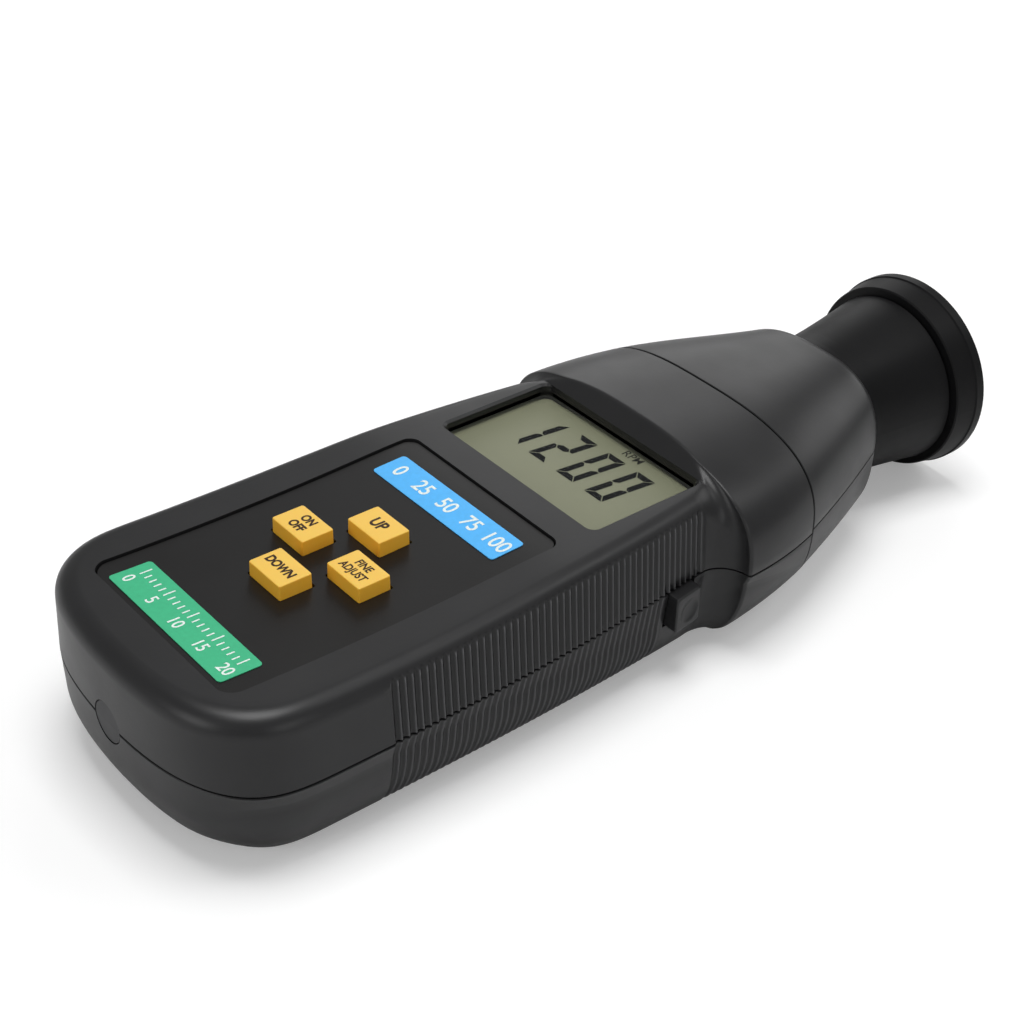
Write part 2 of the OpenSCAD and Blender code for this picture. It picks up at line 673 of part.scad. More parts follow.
// battery door: the same skin as the back, tabs and a round edge it turns on at the nose end,
// a thumb hollow at the tail end
module hinge_edge() difference() {
    block(-door_w / 2 - 1, door_w / 2 + 1, door_y1 - hinge_r, door_y1 + 1, back_z - 1, back_z + hinge_r);
    translate([0, door_y1 - hinge_r, back_z + hinge_r]) rotate([0, 90, 0])
        cylinder(r = hinge_r, h = door_w + 4, center = true);
}
module battery_door() color("#38383a") difference() {
    union() {
        intersection() {
            skin(-1);
            door_box(0, door_top);
        }
        sides() translate([tab_x - tab_w / 2, 0, 0]) {
            block(0, tab_w, door_y1 - 2, door_y1, floor_z - 0.5, floor_z + tab_t);
            block(0, tab_w, door_y1 - 1, door_y1 + tab_l, floor_z + 0.3, floor_z + tab_t);
        }
    }
    hinge_edge();
    translate([0, door_y0 + 6, back_z - 5]) rotate([0, 90, 0]) cylinder(r = 5.8, h = 16, center = true);
}

// power supply on the lower shell's posts
module power_board() color("#2f6b3c")
    block(7.1 - waist_w / 2, waist_w / 2 - 11.1, power_y0, power_y1, power_z, power_top);
module flash_capacitor() color("#24365c") translate([-1, power_y0 + 4, power_top + cap_r]) rotate([-90, 0, 0])
    cylinder(r = cap_r, h = power_y1 - power_y0 - 7);
module step_up_coil() color("#a8803c") {
    block(-22.5, -11, power_y0 + 8, power_y0 + 10, power_top, power_top + 12);
    block(-20.5, -13, power_y0 + 10, power_y0 + 20, power_top, power_top + 11);
    block(-22.5, -11, power_y0 + 20, power_y0 + 22, power_top, power_top + 12);
}

// lamp head, turned about the lamp axis
flare_steps = 8;
function flare(i) = let (f = i / flare_steps, y0 = nose_y + 1, y1 = ring_y - groove_w)
    [barrel_d / 2 + (flare_d - barrel_d) / 2 * pow(f, 1.3), y0 + (y1 - y0) * f];
module lamp_barrel() color("#1c1c1e") on_axis(0) rotate_extrude() polygon(concat(
    [[barrel_d / 2 - bore_step, barrel_y], [barrel_d / 2, barrel_y], [barrel_d / 2, stop_y - stop_l],
     [stop_r, stop_y - stop_l], [stop_r, stop_y], [barrel_d / 2, stop_y]],
    [for (i = [0 : flare_steps]) flare(i)],
    [[spigot_r, ring_y - groove_w], [spigot_r, spigot_y], [spigot_r - bore_step, spigot_y]],
    [for (i = [flare_steps : -1 : 0]) [min(flare(i)[0], spigot_r) - bore_step, flare(i)[1]]]));
module lamp_ring() color("#1a1a1c") on_axis(0) rotate_extrude() polygon([
    [spigot_r + seat_gap, ring_y], [head_d / 2 - 1.4, ring_y], [head_d / 2 - 1.1, ring_y + 0.3],
    [head_d / 2 - 0.3, band_y], [head_d / 2, band_y + 0.3], [head_d / 2, front_y - 0.7],
    [head_d / 2 - 0.7, front_y],
    [spigot_r - 1, front_y], [spigot_r - 1, lip_y], [spigot_r + seat_gap, lip_y]]);
module front_lens() color("#dfe6ea", 0.4) on_axis(spigot_y) cylinder(r = spigot_r, h = lip_y - spigot_y);
reflector_steps = 10;
function bowl(i) = let (r = lamp_hole_r + (reflector_r - lamp_hole_r) * i / reflector_steps)
    [r, reflector_y + (spigot_y - reflector_y) * pow(r / reflector_r, 2)];
module reflector() color("#d4d6da") on_axis(0) rotate_extrude() polygon(concat(
    [for (i = [0 : reflector_steps]) bowl(i)],
    [[reflector_r + 0.6, spigot_y], [reflector_r + 0.6, spigot_y - 1]],
    [for (i = [reflector_steps - 1 : -1 : 0]) [bowl(i)[0] + reflector_t, bowl(i)[1]]]));
module flash_tube() color("#e8eef4", 0.6) on_axis(lamp_y) {
    sides() translate([2.9, 0, 0]) cylinder(r = 1.5, h = 14);
    translate([0, 0, 14]) rotate([90, 0, 0]) rotate_extrude(angle = 180) translate([2.9, 0]) circle(r = 1.5);
}
module lamp_socket() color("#e6e2d8") {
    on_axis(socket_y) cylinder(r = 8, h = lamp_y - socket_y);
    on_axis(lamp_y - 5) cylinder(r = barrel_d / 2 - bore_step - seat_gap, h = 2);
}
module ignition_coil() color("#7a3b1e") on_axis(socket_y - 12) {
    cylinder(r = 5, h = 12);
    cylinder(r = 6, h = 1.5);
}

// fixings
module screw(p, seat, top) {
    post(p, head_r, seat - head_t, seat);
    post(p, screw_r, seat, top);
}
module housing_screws() color("#8f8f8c") sides() for (p = screw_spots) screw(p, seat_z, screw_top);
module nose_screws() color("#8f8f8c") sides() screw(nose_spot, nose_seat_z, nose_screw_top);

upper_shell();
lower_shell();
nose_cap_top();
nose_cap_bottom();
faceplate();
label_blue();
label_green();
display_window();
display_panel();
display_holder();
contact_strips();
key_power();
key_up();
key_down();
key_fine();
key_switches();
main_board();
board_chips();
board_screws();
trigger();
trigger_switch();
tail_plug();
battery_tray();
battery_cells();
battery_springs();
battery_contacts();
battery_door();
power_board();
flash_capacitor();
step_up_coil();
lamp_barrel();
lamp_ring();
front_lens();
reflector();
flash_tube();
lamp_socket();
ignition_coil();
housing_screws();
nose_screws();
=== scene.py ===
"""Handheld digital stroboscope, dressed for the photograph.

Sizes are millimetres in the row frame of part.scad: X to the user's right, Y to the lamp head,
Z out of the display face. Meshes are written to the scene in metres.
"""
import math

import bmesh
import bpy
import numpy as np
from mathutils import Matrix, Vector
from mathutils.bvhtree import BVHTree


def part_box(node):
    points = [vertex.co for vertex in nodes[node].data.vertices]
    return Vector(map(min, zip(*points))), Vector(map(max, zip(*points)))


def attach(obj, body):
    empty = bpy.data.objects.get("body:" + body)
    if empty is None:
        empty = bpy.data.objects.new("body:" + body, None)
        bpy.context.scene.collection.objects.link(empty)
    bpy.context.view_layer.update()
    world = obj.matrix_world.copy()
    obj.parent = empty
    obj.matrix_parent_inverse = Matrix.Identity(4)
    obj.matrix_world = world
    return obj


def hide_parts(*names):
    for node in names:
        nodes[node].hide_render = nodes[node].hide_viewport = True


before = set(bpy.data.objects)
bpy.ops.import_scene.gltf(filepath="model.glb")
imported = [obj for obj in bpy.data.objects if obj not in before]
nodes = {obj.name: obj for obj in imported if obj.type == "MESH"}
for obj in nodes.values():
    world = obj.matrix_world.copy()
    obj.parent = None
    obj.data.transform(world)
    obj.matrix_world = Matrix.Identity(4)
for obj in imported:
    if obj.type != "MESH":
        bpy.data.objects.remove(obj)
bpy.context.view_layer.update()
MM = 0.001

# Lengths and heights of the housing
TAIL_Y, FRONT_Y = -105.5, 105.5
DISP_Y0, DISP_Y1 = -13.4, 14.8
WAIST_Y, SHOULDER_Y = 10.9, 16.9
SPLIT_Y, NOSE_Y = 37.9, 72.6
AXIS_Z, DISPLAY_Z, CREST_Z, BACK_Z = 22.4, 38.6, 41.9, 3.0
LOWER_H = AXIS_Z - BACK_Z
CREST_H = CREST_Z - DISPLAY_Z
WALL = 2.0
# By how much cutters pass what they cut, and lengths that count as none
OVER = 1
TINY, POINT_W = 1e-6, 1e-3

# Plan outline
GRIP_W, WAIST_W, SHOULDER_W, SPLIT_W = 71.6, 61.2, 75.0, 68.6
TAIL_BOW, TAIL_DEPTH, GRIP_BEND = 5.2, 23.0, 2.5
SIDE_Y = TAIL_Y + TAIL_BOW + TAIL_DEPTH
GRIP_TAPER = (GRIP_W - WAIST_W) / 2 / (WAIST_Y - SIDE_Y) ** GRIP_BEND
SHOULDER_TAPER = (SHOULDER_W - SPLIT_W) / 2 / (SPLIT_Y - SHOULDER_Y) ** 2
BARREL_R, NOSE_RIM, NOSE_CURVE = 16.6, 3.65, 0.0018
NOSE_L = NOSE_Y - SPLIT_Y
NOSE_SLOPE = (SPLIT_W / 2 - BARREL_R - NOSE_RIM) / NOSE_L - NOSE_CURVE * NOSE_L
NOSE_ROUND, NOSE_STOP, NOSE_FRONT = 4.3, 50.0, 0.5

# Section shape
UPPER_DRAFT, LOWER_DRAFT, DRAFT_FALL, TAIL_DRAFT = 1.0, 4.0, 0.5, 0.2
UPPER_R, TAIL_R = 4.3, 12.2
CROWN_Y0, CROWN_Y1 = WAIST_Y - 3.4, SPLIT_Y + 11.6
CROWN_N, NOSE_N, NOSE_DROP = 2.86, 2.75, 2.0
DIP, DIP_Y, DIP_R, DIP_BLEND = 1.1, TAIL_Y + 40, 650.0, 0.15
LOWER_WALL, LOWER_TALL = 1.0, 1.72
ROUND_BASE, ROUND_GAIN = 3.83, 1.332
WALL_U, EDGE_U, LAST_U = 2.0, 8.0, 12.0
TAIL_TURN = (15, 65)
CROWN_START = WAIST_Y - 1
INNER_RISE = (SHOULDER_Y + 3, SHOULDER_Y + 10)
INNER_DROP = 0.6

# Steps of the lofts: over wall, round and flat of a half section, then rows along the housing
SKIN_STEPS, HOLLOW_STEPS = (6, 18, 16), (2, 6, 4)
TAIL_ROWS, PLAIN_ROWS, SCOOP_ROWS, CORNER_ROWS = 44, 6, 26, 7
GRIP_STEP, FINE_STEP, FINE_END, FRONT_ROWS = 0.5, 0.3, 24, 14
HOLLOW_TAIL_ROWS, HOLLOW_GRIP_ROWS, HOLLOW_FRONT_ROWS = 16, 12, 7
NOSE_ROWS, NOSE_TURN_ROWS, NOSE_HOLLOW_ROWS = 26, 10, 9

# Seams, grooves and eased edges
SEAM, EASE = 0.18, 0.16
CORNER_R, HOOD_EASE = 0.7, 0.6
NOSE_LIFT, LIFT_FADE = 0.9, 4.0
RIB_Y0, RIB_PITCH, RIB_D, RIB_FADE = TAIL_Y + 38, 1.6, 0.6, (5.5, 7.5)
GROOVE_FLAT, GROOVE_EDGE = 2.4, 1.3
# Stored groove-to-crest value, by which shade is painted into the rib grooves and a highlight onto the crests
CREST = "rib_crest"
RIB_SAMPLES = (-0.5, -0.42, -0.33, -0.2, 0.0, 0.2, 0.33, 0.42)
TRIG_Y, TRIG_L, TRIG_H, TRIG_TOP, TRIG_X = 0.4, 7.3, 8.1, 22.05, 34.5
TRIG_BACK, TRIG_LEAN, RUN_GAP = 24.4, 0.148, 0.35
RIB_END = {1: WAIST_Y - 0.4, -1: TRIG_Y - 1.2}
RIB_TURN = {1: (0.36, 0.5), -1: (0.62, 0.86)}
TRIG_EASE, DIMPLE_R, DIMPLE_D, DIMPLE_AT = 0.45, 2.65, 0.6, (0.35, -0.3)
DIMPLE_SHAPE = ((1.08, 0.0), (1.0, 0.06), (0.92, 0.3), (0.8, 0.62), (0.5, 0.9), (0.2, 1.0))
TRIG_SQUARE, KEEPER_SQUARE, KEEPER_OVER, KEEPER_DROP = 16, 30, (2.4, 1.2), 0.6
KEEPER_IN, KEEPER_OUT, LEAN_REACH = 0.2, 1.2, 2

# Face
PLATE_Y0, PLATE_Y1, PLATE_W, PLATE_R = TAIL_Y + 8.6, DISP_Y0 - 7.7, 47.8, 2.6
PLATE_BOW, PLATE_WAIST, PLATE_SINK, PLATE_T, LABEL_T = 3.4, 0.03, 0.42, 0.5, 0.15
POCKET_SHIFT, POCKET_D, PLATE_STEPS, PLATE_GAP = (-0.1, 0.05), 1.8, 25, 0.33
HOLE_SHIFT, HOLE_GAP, SHELL_HOLE_GAP = (-0.25, 0.25), 0.32, 0.4
DISP_W, DISP_L, DISP_R, WINDOW_Z = 47.2, 28.2, 1.9, DISPLAY_Z - 2.6
DISP_MID = np.array([0, (DISP_Y0 + DISP_Y1) / 2])
RIM_W, RIM_L, RIM_R, RIM_LOW, RIM_HIGH = 1.4, 0.8, 0.4, DISPLAY_Z - 0.46, DISPLAY_Z + 0.1
FRAME_W, FRAME_T = 2.5, 0.9
PANEL_TOP = WINDOW_Z - 1.0
KEY_W, KEY_L, KEY_RISE, KEY_EASE, KEY_CORNER = 10.35, 7.2, 3.1, 0.22, 0.4
KEY_TAPER, KEY_DOME, KEY_TOP_IN, KEY_TOP_R = 0.1, 0.05, 1, 0.7
FLANGE_OVER, FLANGE_T, FLANGE_R, FLANGE_GAP = 2, 1.2, 0.3, 0.35
KEY_Y = (PLATE_Y0 + PLATE_Y1) / 2 + 1.9
KEYS = {"key_power": (-9.1, KEY_Y), "key_up": (0.0, KEY_Y + 11), "key_down": (0.0, KEY_Y - 11),
        "key_fine": (9.1, KEY_Y)}
KEY_BODIES = {"key_power": "power_key", "key_up": "up_key", "key_down": "down_key", "key_fine": "fine_key"}
PRINT_LIFT, LABEL_R = 0.03, 0.8
KEY_TOP, KEY_STEPS, HOLE_STEPS, PLATE_CORNER_STEPS, LEDGE = (0.8, 0.55, 0.25), 6, 4, 10, 0.01
EASE_TURN = np.radians(np.linspace(0, 90, 6))

# Heights between which the cutters of the face reach
DISP_CUT, KEY_CUT = (AXIS_Z + 8, DISPLAY_Z + 7), (AXIS_Z + 4, DISPLAY_Z + 3)
SHEET_CUT, POCKET_TOP = (DISPLAY_Z - 9, DISPLAY_Z + 9), 4

# Lettering: legends as words, size and boldness
LEGENDS = {"key_power": ("ON\nOFF", 2.7, 0.11), "key_up": ("UP", 3.7, 0.13), "key_down": ("DOWN", 2.8, 0.11),
           "key_fine": ("FINE\nADJUST", 2.5, 0.065)}
LEGEND_LIFT, LEGEND_STRETCH, LETTER_T = 0.05, 0.84, 0.01
BLUE_Y, BLUE_NUMBERS, BLUE_SPAN, BLUE_STEP = PLATE_Y1 - 8.95, 5, 25, 7.6
GREEN_Y, GREEN_TICKS, GREEN_STEP, GREEN_MAJOR = PLATE_Y0 + 8.3, 20, 1.65, 5
TICK_Y, TICK_TALL, TICK_SHORT, TICK_HALF = GREEN_Y + 0.7, 2.6, 1.6, 0.17
NUMBER_Y, NUMBER_STRETCH = GREEN_Y - 1.7, 0.9
BLUE_SIZE, BLUE_BOLD, GREEN_SIZE, GREEN_BOLD = 5.0, 0.06, 3.6, 0.04
SEGMENTS = {"1": "bc", "2": "abged", "0": "abcdef"}
DIGITS = "1200"
DIGIT_H, DIGIT_W, DIGIT_PITCH, DIGIT_SLANT, STROKE, SLIT = 13.1, 5.3, 8.77, 0.114, 1.55, 0.14
DIGIT_X, DIGIT_Y = -17.4, -2.1
UNIT_X, UNIT_Y, UNIT_SIZE, UNIT_BOLD = 5.2, 13.6, 2.9, 0.02

# Back
SCREWS = ((GRIP_W / 2 - 16.7, TAIL_Y + 13.6), (WAIST_W / 2 - 8.6, -19.1),
          (SHOULDER_W / 2 - 14.5, SHOULDER_Y + 9.6))
NOSE_SCREW = (13.0, SPLIT_Y + 9)
SINK_R, BOSS_R, SHANK_R = 3.0, 4.2, 1.7
BOSS_TOP, FOOT_IN, FOOT_RAYS, PIN_STEPS = AXIS_Z - 0.3, 0.2, 16, 48
BELOW, RAY_Z = BACK_Z - 2 * OVER, BACK_Z - 5 * OVER
SEAT_Z, NOSE_SEAT_Z = BACK_Z + 9, BACK_Z + 7
DOOR_W, DOOR_Y0, DOOR_Y1, DOOR_TOP = 54.8, -85.4, -25.5, BACK_Z + 4.6
PLUG_R, PLUG_GAP, PLUG_IN, PLUG_STEPS, BORE_GAP = 4.15, 0.2, 6, 64, 0.15


# Shape of the housing: the sections of part.scad, with an upright wall below the parting

def ramp(a, b, v):
    """Smooth step from 0 at a to 1 at b."""
    t = np.clip((v - a) / (b - a), 0, 1)
    return t * t * (3 - 2 * t)


def face_z(y):
    """Height of the face: level at the display, dipped and blended along the keypad."""
    over = (y - DIP_Y) ** 2 / (2 * DIP_R) - DIP
    return DISPLAY_Z - DIP_BLEND * np.log1p(np.exp(-over / DIP_BLEND))


def side_x(y):
    """Half width of the housing in plan."""
    if y < WAIST_Y:
        return GRIP_W / 2 - GRIP_TAPER * max(0.0, y - SIDE_Y) ** GRIP_BEND
    if y < SHOULDER_Y:
        q = (y - WAIST_Y) / (SHOULDER_Y - WAIST_Y)
        return WAIST_W / 2 + (SHOULDER_W - WAIST_W) / 2 * (1 - math.sqrt(max(0.0, 1 - q * q)))
    if y < SPLIT_Y:
        return SHOULDER_W / 2 - SHOULDER_TAPER * (y - SHOULDER_Y) ** 2
    return SPLIT_W / 2 - NOSE_SLOPE * (y - SPLIT_Y) - NOSE_CURVE * (y - SPLIT_Y) ** 2


def profile_u(wall_n, round_n, flat_n):
    """Places along a half section: up the wall, round the edge, over the flat."""
    return np.concatenate([np.linspace(0, WALL_U, wall_n + 1), np.linspace(WALL_U, EDGE_U, round_n + 1)[1:],
                           np.linspace(EDGE_U, LAST_U, flat_n + 1)[1:]])


def box_section(u, w, h, draft, r, tall=1.0):
    """Inset and height of a drafted half section, its round r wide and r times tall high."""
    wall = np.minimum(u / WALL_U, 1)
    turn = np.radians(90 * np.clip((u - WALL_U) / (EDGE_U - WALL_U), 0, 1))
    inset = draft * wall + r * (1 - np.cos(turn))
    height = (h - r * tall) * wall + r * tall * np.sin(turn)
    flat = np.clip((u - EDGE_U) / (LAST_U - EDGE_U), 0, 1)
    return inset + (w - draft - r) * flat, height


def crown_section(u, w, h, n):
    """Inset and height of a crowned half section, a superellipse of power n."""
    a = np.radians(90 * u / LAST_U)
    return w - w * np.abs(np.cos(a)) ** (2 / n), h * np.sin(a) ** (2 / n)


def lower_round(y):
    """Width of the round under the housing, which reaches as far in as part.scad's leaning wall."""
    return ROUND_BASE + ROUND_GAIN * max(1.0, LOWER_DRAFT - DRAFT_FALL * (GRIP_W / 2 - side_x(y)))


def half_section(u, w, h, draft, r, n, b, tall=1.0):
    """A half section between box, b = 0, and crown, b = 1."""
    box, crown = box_section(u, w, h, draft, r, tall), crown_section(u, w, h, n)
    return box[0] * (1 - b) + crown[0] * b, box[1] * (1 - b) + crown[1] * b


def tail_half(u, a, up, t):
    """A half section that follows the round of the tail; a is the angle from the tail's middle."""
    turn = ramp(*TAIL_TURN, math.degrees(a))
    draft = TAIL_DRAFT + ((UPPER_DRAFT if up > 0 else LOWER_WALL) - TAIL_DRAFT) * turn
    r = (UPPER_R if up > 0 else TAIL_R + (lower_round(SIDE_Y) - TAIL_R) * turn) - t
    tall = 1 if up > 0 else 1 + (LOWER_TALL - 1) * turn
    k = np.minimum(u, EDGE_U)
    d = t + box_section(k, GRIP_W / 2, LOWER_H, draft, r)[0]
    x = (GRIP_W / 2 - d) * math.sqrt(math.sin(a))
    sweep = TAIL_BOW * math.sin(a) + TAIL_DEPTH * (1 - math.sqrt(max(0.0, math.cos(a))))
    y = TAIL_Y + d + sweep * (1 - d / (TAIL_BOW + TAIL_DEPTH))
    h = (face_z(y) - AXIS_Z if up > 0 else LOWER_H) - t
    z = box_section(k, GRIP_W / 2, h, draft, r, tall)[1]
    x = x * np.where(u > EDGE_U, (LAST_U - u) / (LAST_U - EDGE_U), 1)
    return np.stack([x, y, AXIS_Z + up * z], 1)


def side_half(u, y, w, up, t, trim=0.0, groove=0.0):
    """A half section across the grip, waist or shoulder, with the depth of a grip groove."""
    b = ramp(CROWN_START, SHOULDER_Y, y) if up > 0 else ramp(CROWN_Y0, CROWN_Y1, y)
    rise = ramp(*INNER_RISE, y) if t > 0 else b
    h = (face_z(y) + CREST_H * rise - AXIS_Z if up > 0 else LOWER_H) - t - trim
    if up > 0:
        r = UPPER_R - t
        inset, z = half_section(u, w - trim, h, UPPER_DRAFT, r, CROWN_N, b)
        inset = np.maximum(inset, groove + UPPER_DRAFT * z / (h - r)) if groove > 0 else inset
    else:
        inset, z = half_section(u, w - trim, h, LOWER_WALL, lower_round(y) - t, NOSE_N, b, LOWER_TALL)
        inset = inset + groove * (1 - ramp(*RIB_FADE, u))
    if up > 0 and t == 0 and y > DISP_Y0:
        z = hood(y, AXIS_Z + z) - AXIS_Z
    return np.stack([w - trim - inset, np.full_like(u, y), AXIS_Z + up * z], 1)


def hood(y, z):
    """The sloped hood over the display, cut from the crowned shoulder with an eased edge."""
    ease = HOOD_EASE * ramp(CROWN_START, SHOULDER_Y, y)
    over = z - (DISPLAY_Z + max(0.0, y - DISP_Y1) - ease / 2)
    soft = np.where(over < ease, over * over / (2 * max(ease, TINY)), over - ease / 2)
    return np.where((over > 0) & (ease > 0), z - soft, z)


def nose_half(u, y, trim, up, t):
    """A half section across the nose, drawn in by trim and by the wall t."""
    b = 1.0 if up > 0 else ramp(CROWN_Y0, CROWN_Y1, y)
    slim = ramp(SPLIT_Y, NOSE_Y, y)
    w = side_x(y) - t - trim
    h = (CREST_Z - AXIS_Z - NOSE_DROP * slim if up > 0 else LOWER_H) - t - trim
    n = CROWN_N + (NOSE_N - CROWN_N) * slim if up > 0 else NOSE_N
    inset, z = half_section(u, w, h, LOWER_WALL, lower_round(SPLIT_Y) - t, n, b, LOWER_TALL)
    return np.stack([w - inset, np.full_like(u, y), AXIS_Z + up * z], 1)


def rib_stations(y1):
    """Places along the grip, close enough to draw each groove, with the groove's depth."""
    count = int((y1 - RIB_Y0) / RIB_PITCH) + 1
    for i in range(count):
        for f in RIB_SAMPLES:
            yield RIB_Y0 + (i + f) * RIB_PITCH, RIB_D * groove_share(f)


def groove_share(f):
    """Depth of a groove as a share of the whole, f of a pitch from its middle."""
    return (1 - abs(2 * f) ** GROOVE_FLAT) ** GROOVE_EDGE


def tail_rows(u, up, t, count):
    """Half sections round the tail, closer together at its middle and its sides."""
    angles = [math.radians(45 - 45 * math.cos(math.pi * k / count)) for k in range(count + 1)]
    return [tail_half(u, a, up, t) for a in angles]


def outer_sections(up):
    """Skin of a shell from the tail over grip, waist and shoulder to the seam at the nose."""
    u = profile_u(*SKIN_STEPS)
    rows = tail_rows(u, up, 0, TAIL_ROWS)
    plain = np.linspace(SIDE_Y, RIB_Y0 - RIB_PITCH / 2, PLAIN_ROWS)[1:-1]
    rows += [side_half(u, y, side_x(y), up, 0) for y in plain]
    grip = list(rib_stations(RIB_END[up]))
    grip += [(y, 0.0) for y in np.arange(grip[-1][0] + GRIP_STEP, WAIST_Y, GRIP_STEP)]
    rows += [side_half(u, y, side_x(y), up, 0, 0, g) for y, g in grip]
    reach = (SHOULDER_W - WAIST_W) / 2
    stop = math.acos(CORNER_R / reach)
    for a in np.linspace(0, stop, SCOOP_ROWS):
        y = WAIST_Y + (SHOULDER_Y - WAIST_Y) * math.sin(a)
        rows.append(side_half(u, y, WAIST_W / 2 + reach * (1 - math.cos(a)), up, 0))
    for a in np.linspace(0, math.pi / 2, CORNER_ROWS)[1:]:
        x = SHOULDER_W / 2 - CORNER_R * (1 - math.sin(a))
        rows.append(side_half(u, y + CORNER_R * (1 - math.cos(a)), x, up, 0))
    start = y + CORNER_R
    end = SPLIT_Y - SEAM
    fine = np.arange(start + FINE_STEP, FINE_END, FINE_STEP)
    for y in np.concatenate([fine, np.linspace(FINE_END, end - EASE, FRONT_ROWS)]):
        rows.append(side_half(u, y, side_x(y), up, 0))
    rows.append(side_half(u, end, side_x(end), up, 0, EASE))
    return seamed(rows, up)


def inner_x(y):
    """Half width of the hollow, a wall inside the skin also where that turns outward."""
    return min(side_x(y), side_x(y - WALL)) - WALL


def inner_sections(up):
    """Hollow of a shell, a wall inside its skin and open past the parting plane."""
    u = profile_u(*HOLLOW_STEPS)
    rows = tail_rows(u, up, WALL, HOLLOW_TAIL_ROWS)
    grip = np.linspace(SIDE_Y, WAIST_Y, HOLLOW_GRIP_ROWS)[1:]
    turn = np.radians(np.linspace(0, 90, HOLLOW_FRONT_ROWS)[1:])
    scoop = WAIST_Y + (SHOULDER_Y - WAIST_Y + WALL) * np.sin(turn)
    front = np.linspace(SHOULDER_Y + WALL, SPLIT_Y + OVER, HOLLOW_FRONT_ROWS)[1:]
    rows += [side_half(u, y, inner_x(y), up, WALL) for y in np.concatenate([grip, scoop, front])]
    return [row - np.array([0, 0, up * INNER_DROP]) for row in rows]


def nose_turn_y():
    """Where the nose begins to round over to the barrel."""
    return NOSE_Y - NOSE_ROUND * math.sin(math.radians(NOSE_STOP))


def nose_sections(up):
    """Skin of a nose half from the seam to the rounded front."""
    u = profile_u(*SKIN_STEPS)
    turn_y = nose_turn_y()
    start = SPLIT_Y + SEAM
    rows = [nose_half(u, start, EASE, up, 0)]
    rows += [nose_half(u, y, 0, up, 0) for y in np.linspace(start + EASE, turn_y, NOSE_ROWS)]
    for a in np.radians(np.linspace(0, NOSE_STOP, NOSE_TURN_ROWS)[1:]):
        y, trim = turn_y + NOSE_ROUND * math.sin(a), NOSE_ROUND * (1 - math.cos(a))
        rows.append(nose_half(u, y, trim, up, 0))
    return seamed(rows, up, NOSE_LIFT)


def nose_hollow(up):
    """Hollow of a nose half, open to the shell."""
    u = profile_u(*HOLLOW_STEPS)
    places = np.linspace(SPLIT_Y - OVER, nose_turn_y() - NOSE_FRONT, NOSE_HOLLOW_ROWS)
    return [nose_half(u, y, 0, up, WALL) - np.array([0, 0, up * INNER_DROP]) for y in places]


def seamed(rows, up, lift=0.0):
    """Eases the parting edge and leaves a fine gap at the parting plane, which may lie a little higher."""
    out = []
    for row in rows:
        row = row.copy()
        low = SEAM + EASE
        height = up * (row[:, 2] - AXIS_Z)
        height = height + up * lift * np.maximum(0, 1 - height / LIFT_FADE)
        row[:, 2] = AXIS_Z + up * np.maximum(height, up * lift + low)
        lip = row[0].copy()
        size = math.hypot(row[0, 0], row[0, 1] - SIDE_Y)
        lip[0] *= 1 - EASE / max(size, 1)
        lip[1] += EASE * max(0.0, SIDE_Y - row[0, 1]) / max(size, 1)
        lip[2] = AXIS_Z + lift + up * SEAM
        out.append(np.vstack([lip, row]))
    return out


# Mesh helpers: tolerances in metres, angles of sharp edges in degrees

WELD, SLIVER = 2e-7, 1e-7
SHARP, SHARP_SMALL = 32, 40


def new_object(name, verts, faces):
    """A mesh object from points in millimetres, welded, its faces turned outward."""
    mesh = bpy.data.meshes.new(name)
    mesh.from_pydata([tuple(v) for v in np.asarray(verts, float) * MM], [], faces)
    bm = bmesh.new()
    bm.from_mesh(mesh)
    bmesh.ops.remove_doubles(bm, verts=bm.verts, dist=WELD)
    bmesh.ops.dissolve_degenerate(bm, edges=bm.edges, dist=SLIVER)
    bmesh.ops.recalc_face_normals(bm, faces=bm.faces)
    bm.to_mesh(mesh)
    bm.free()
    obj = bpy.data.objects.new(name, mesh)
    bpy.context.collection.objects.link(obj)
    return obj


def loft(name, rows):
    """A closed solid through half sections that are mirrored about X = 0."""
    full = [np.vstack([r, r[-2::-1] * np.array([-1, 1, 1])]) for r in rows]
    n, last = len(full[0]), len(full) - 1
    faces = [(k * n + p, k * n + p + 1, (k + 1) * n + p + 1, (k + 1) * n + p)
             for k in range(last) for p in range(n - 1)]
    faces += [(k * n, (k + 1) * n, (k + 1) * n + n - 1, k * n + n - 1) for k in range(last)]
    faces.append(tuple(last * n + p for p in range(n)))
    pointed = abs(full[0][0][0]) < POINT_W
    if not pointed:
        faces.append(tuple(range(n)))
    return new_object(name, np.vstack(full), faces)


def round_rect(w, l, r, steps=8):
    """A rectangle with round corners about the origin."""
    pts = []
    for cx, cy, a0 in ((1, 1, 0), (-1, 1, 90), (-1, -1, 180), (1, -1, 270)):
        for a in np.radians(a0 + np.linspace(0, 90, steps + 1)):
            pts.append((cx * (w / 2 - r) + r * math.cos(a), cy * (l / 2 - r) + r * math.sin(a)))
    return np.array(pts)


def squircle(w, l, power, steps=72):
    """A rectangle with eased corners, its points at even angles as a circle's are."""
    a = np.linspace(0, 2 * math.pi, steps, endpoint=False)
    c, s = np.cos(a), np.sin(a)
    reach = (np.abs(2 * c / w) ** power + np.abs(2 * s / l) ** power) ** (-1 / power)
    return np.stack([reach * c, reach * s], 1)


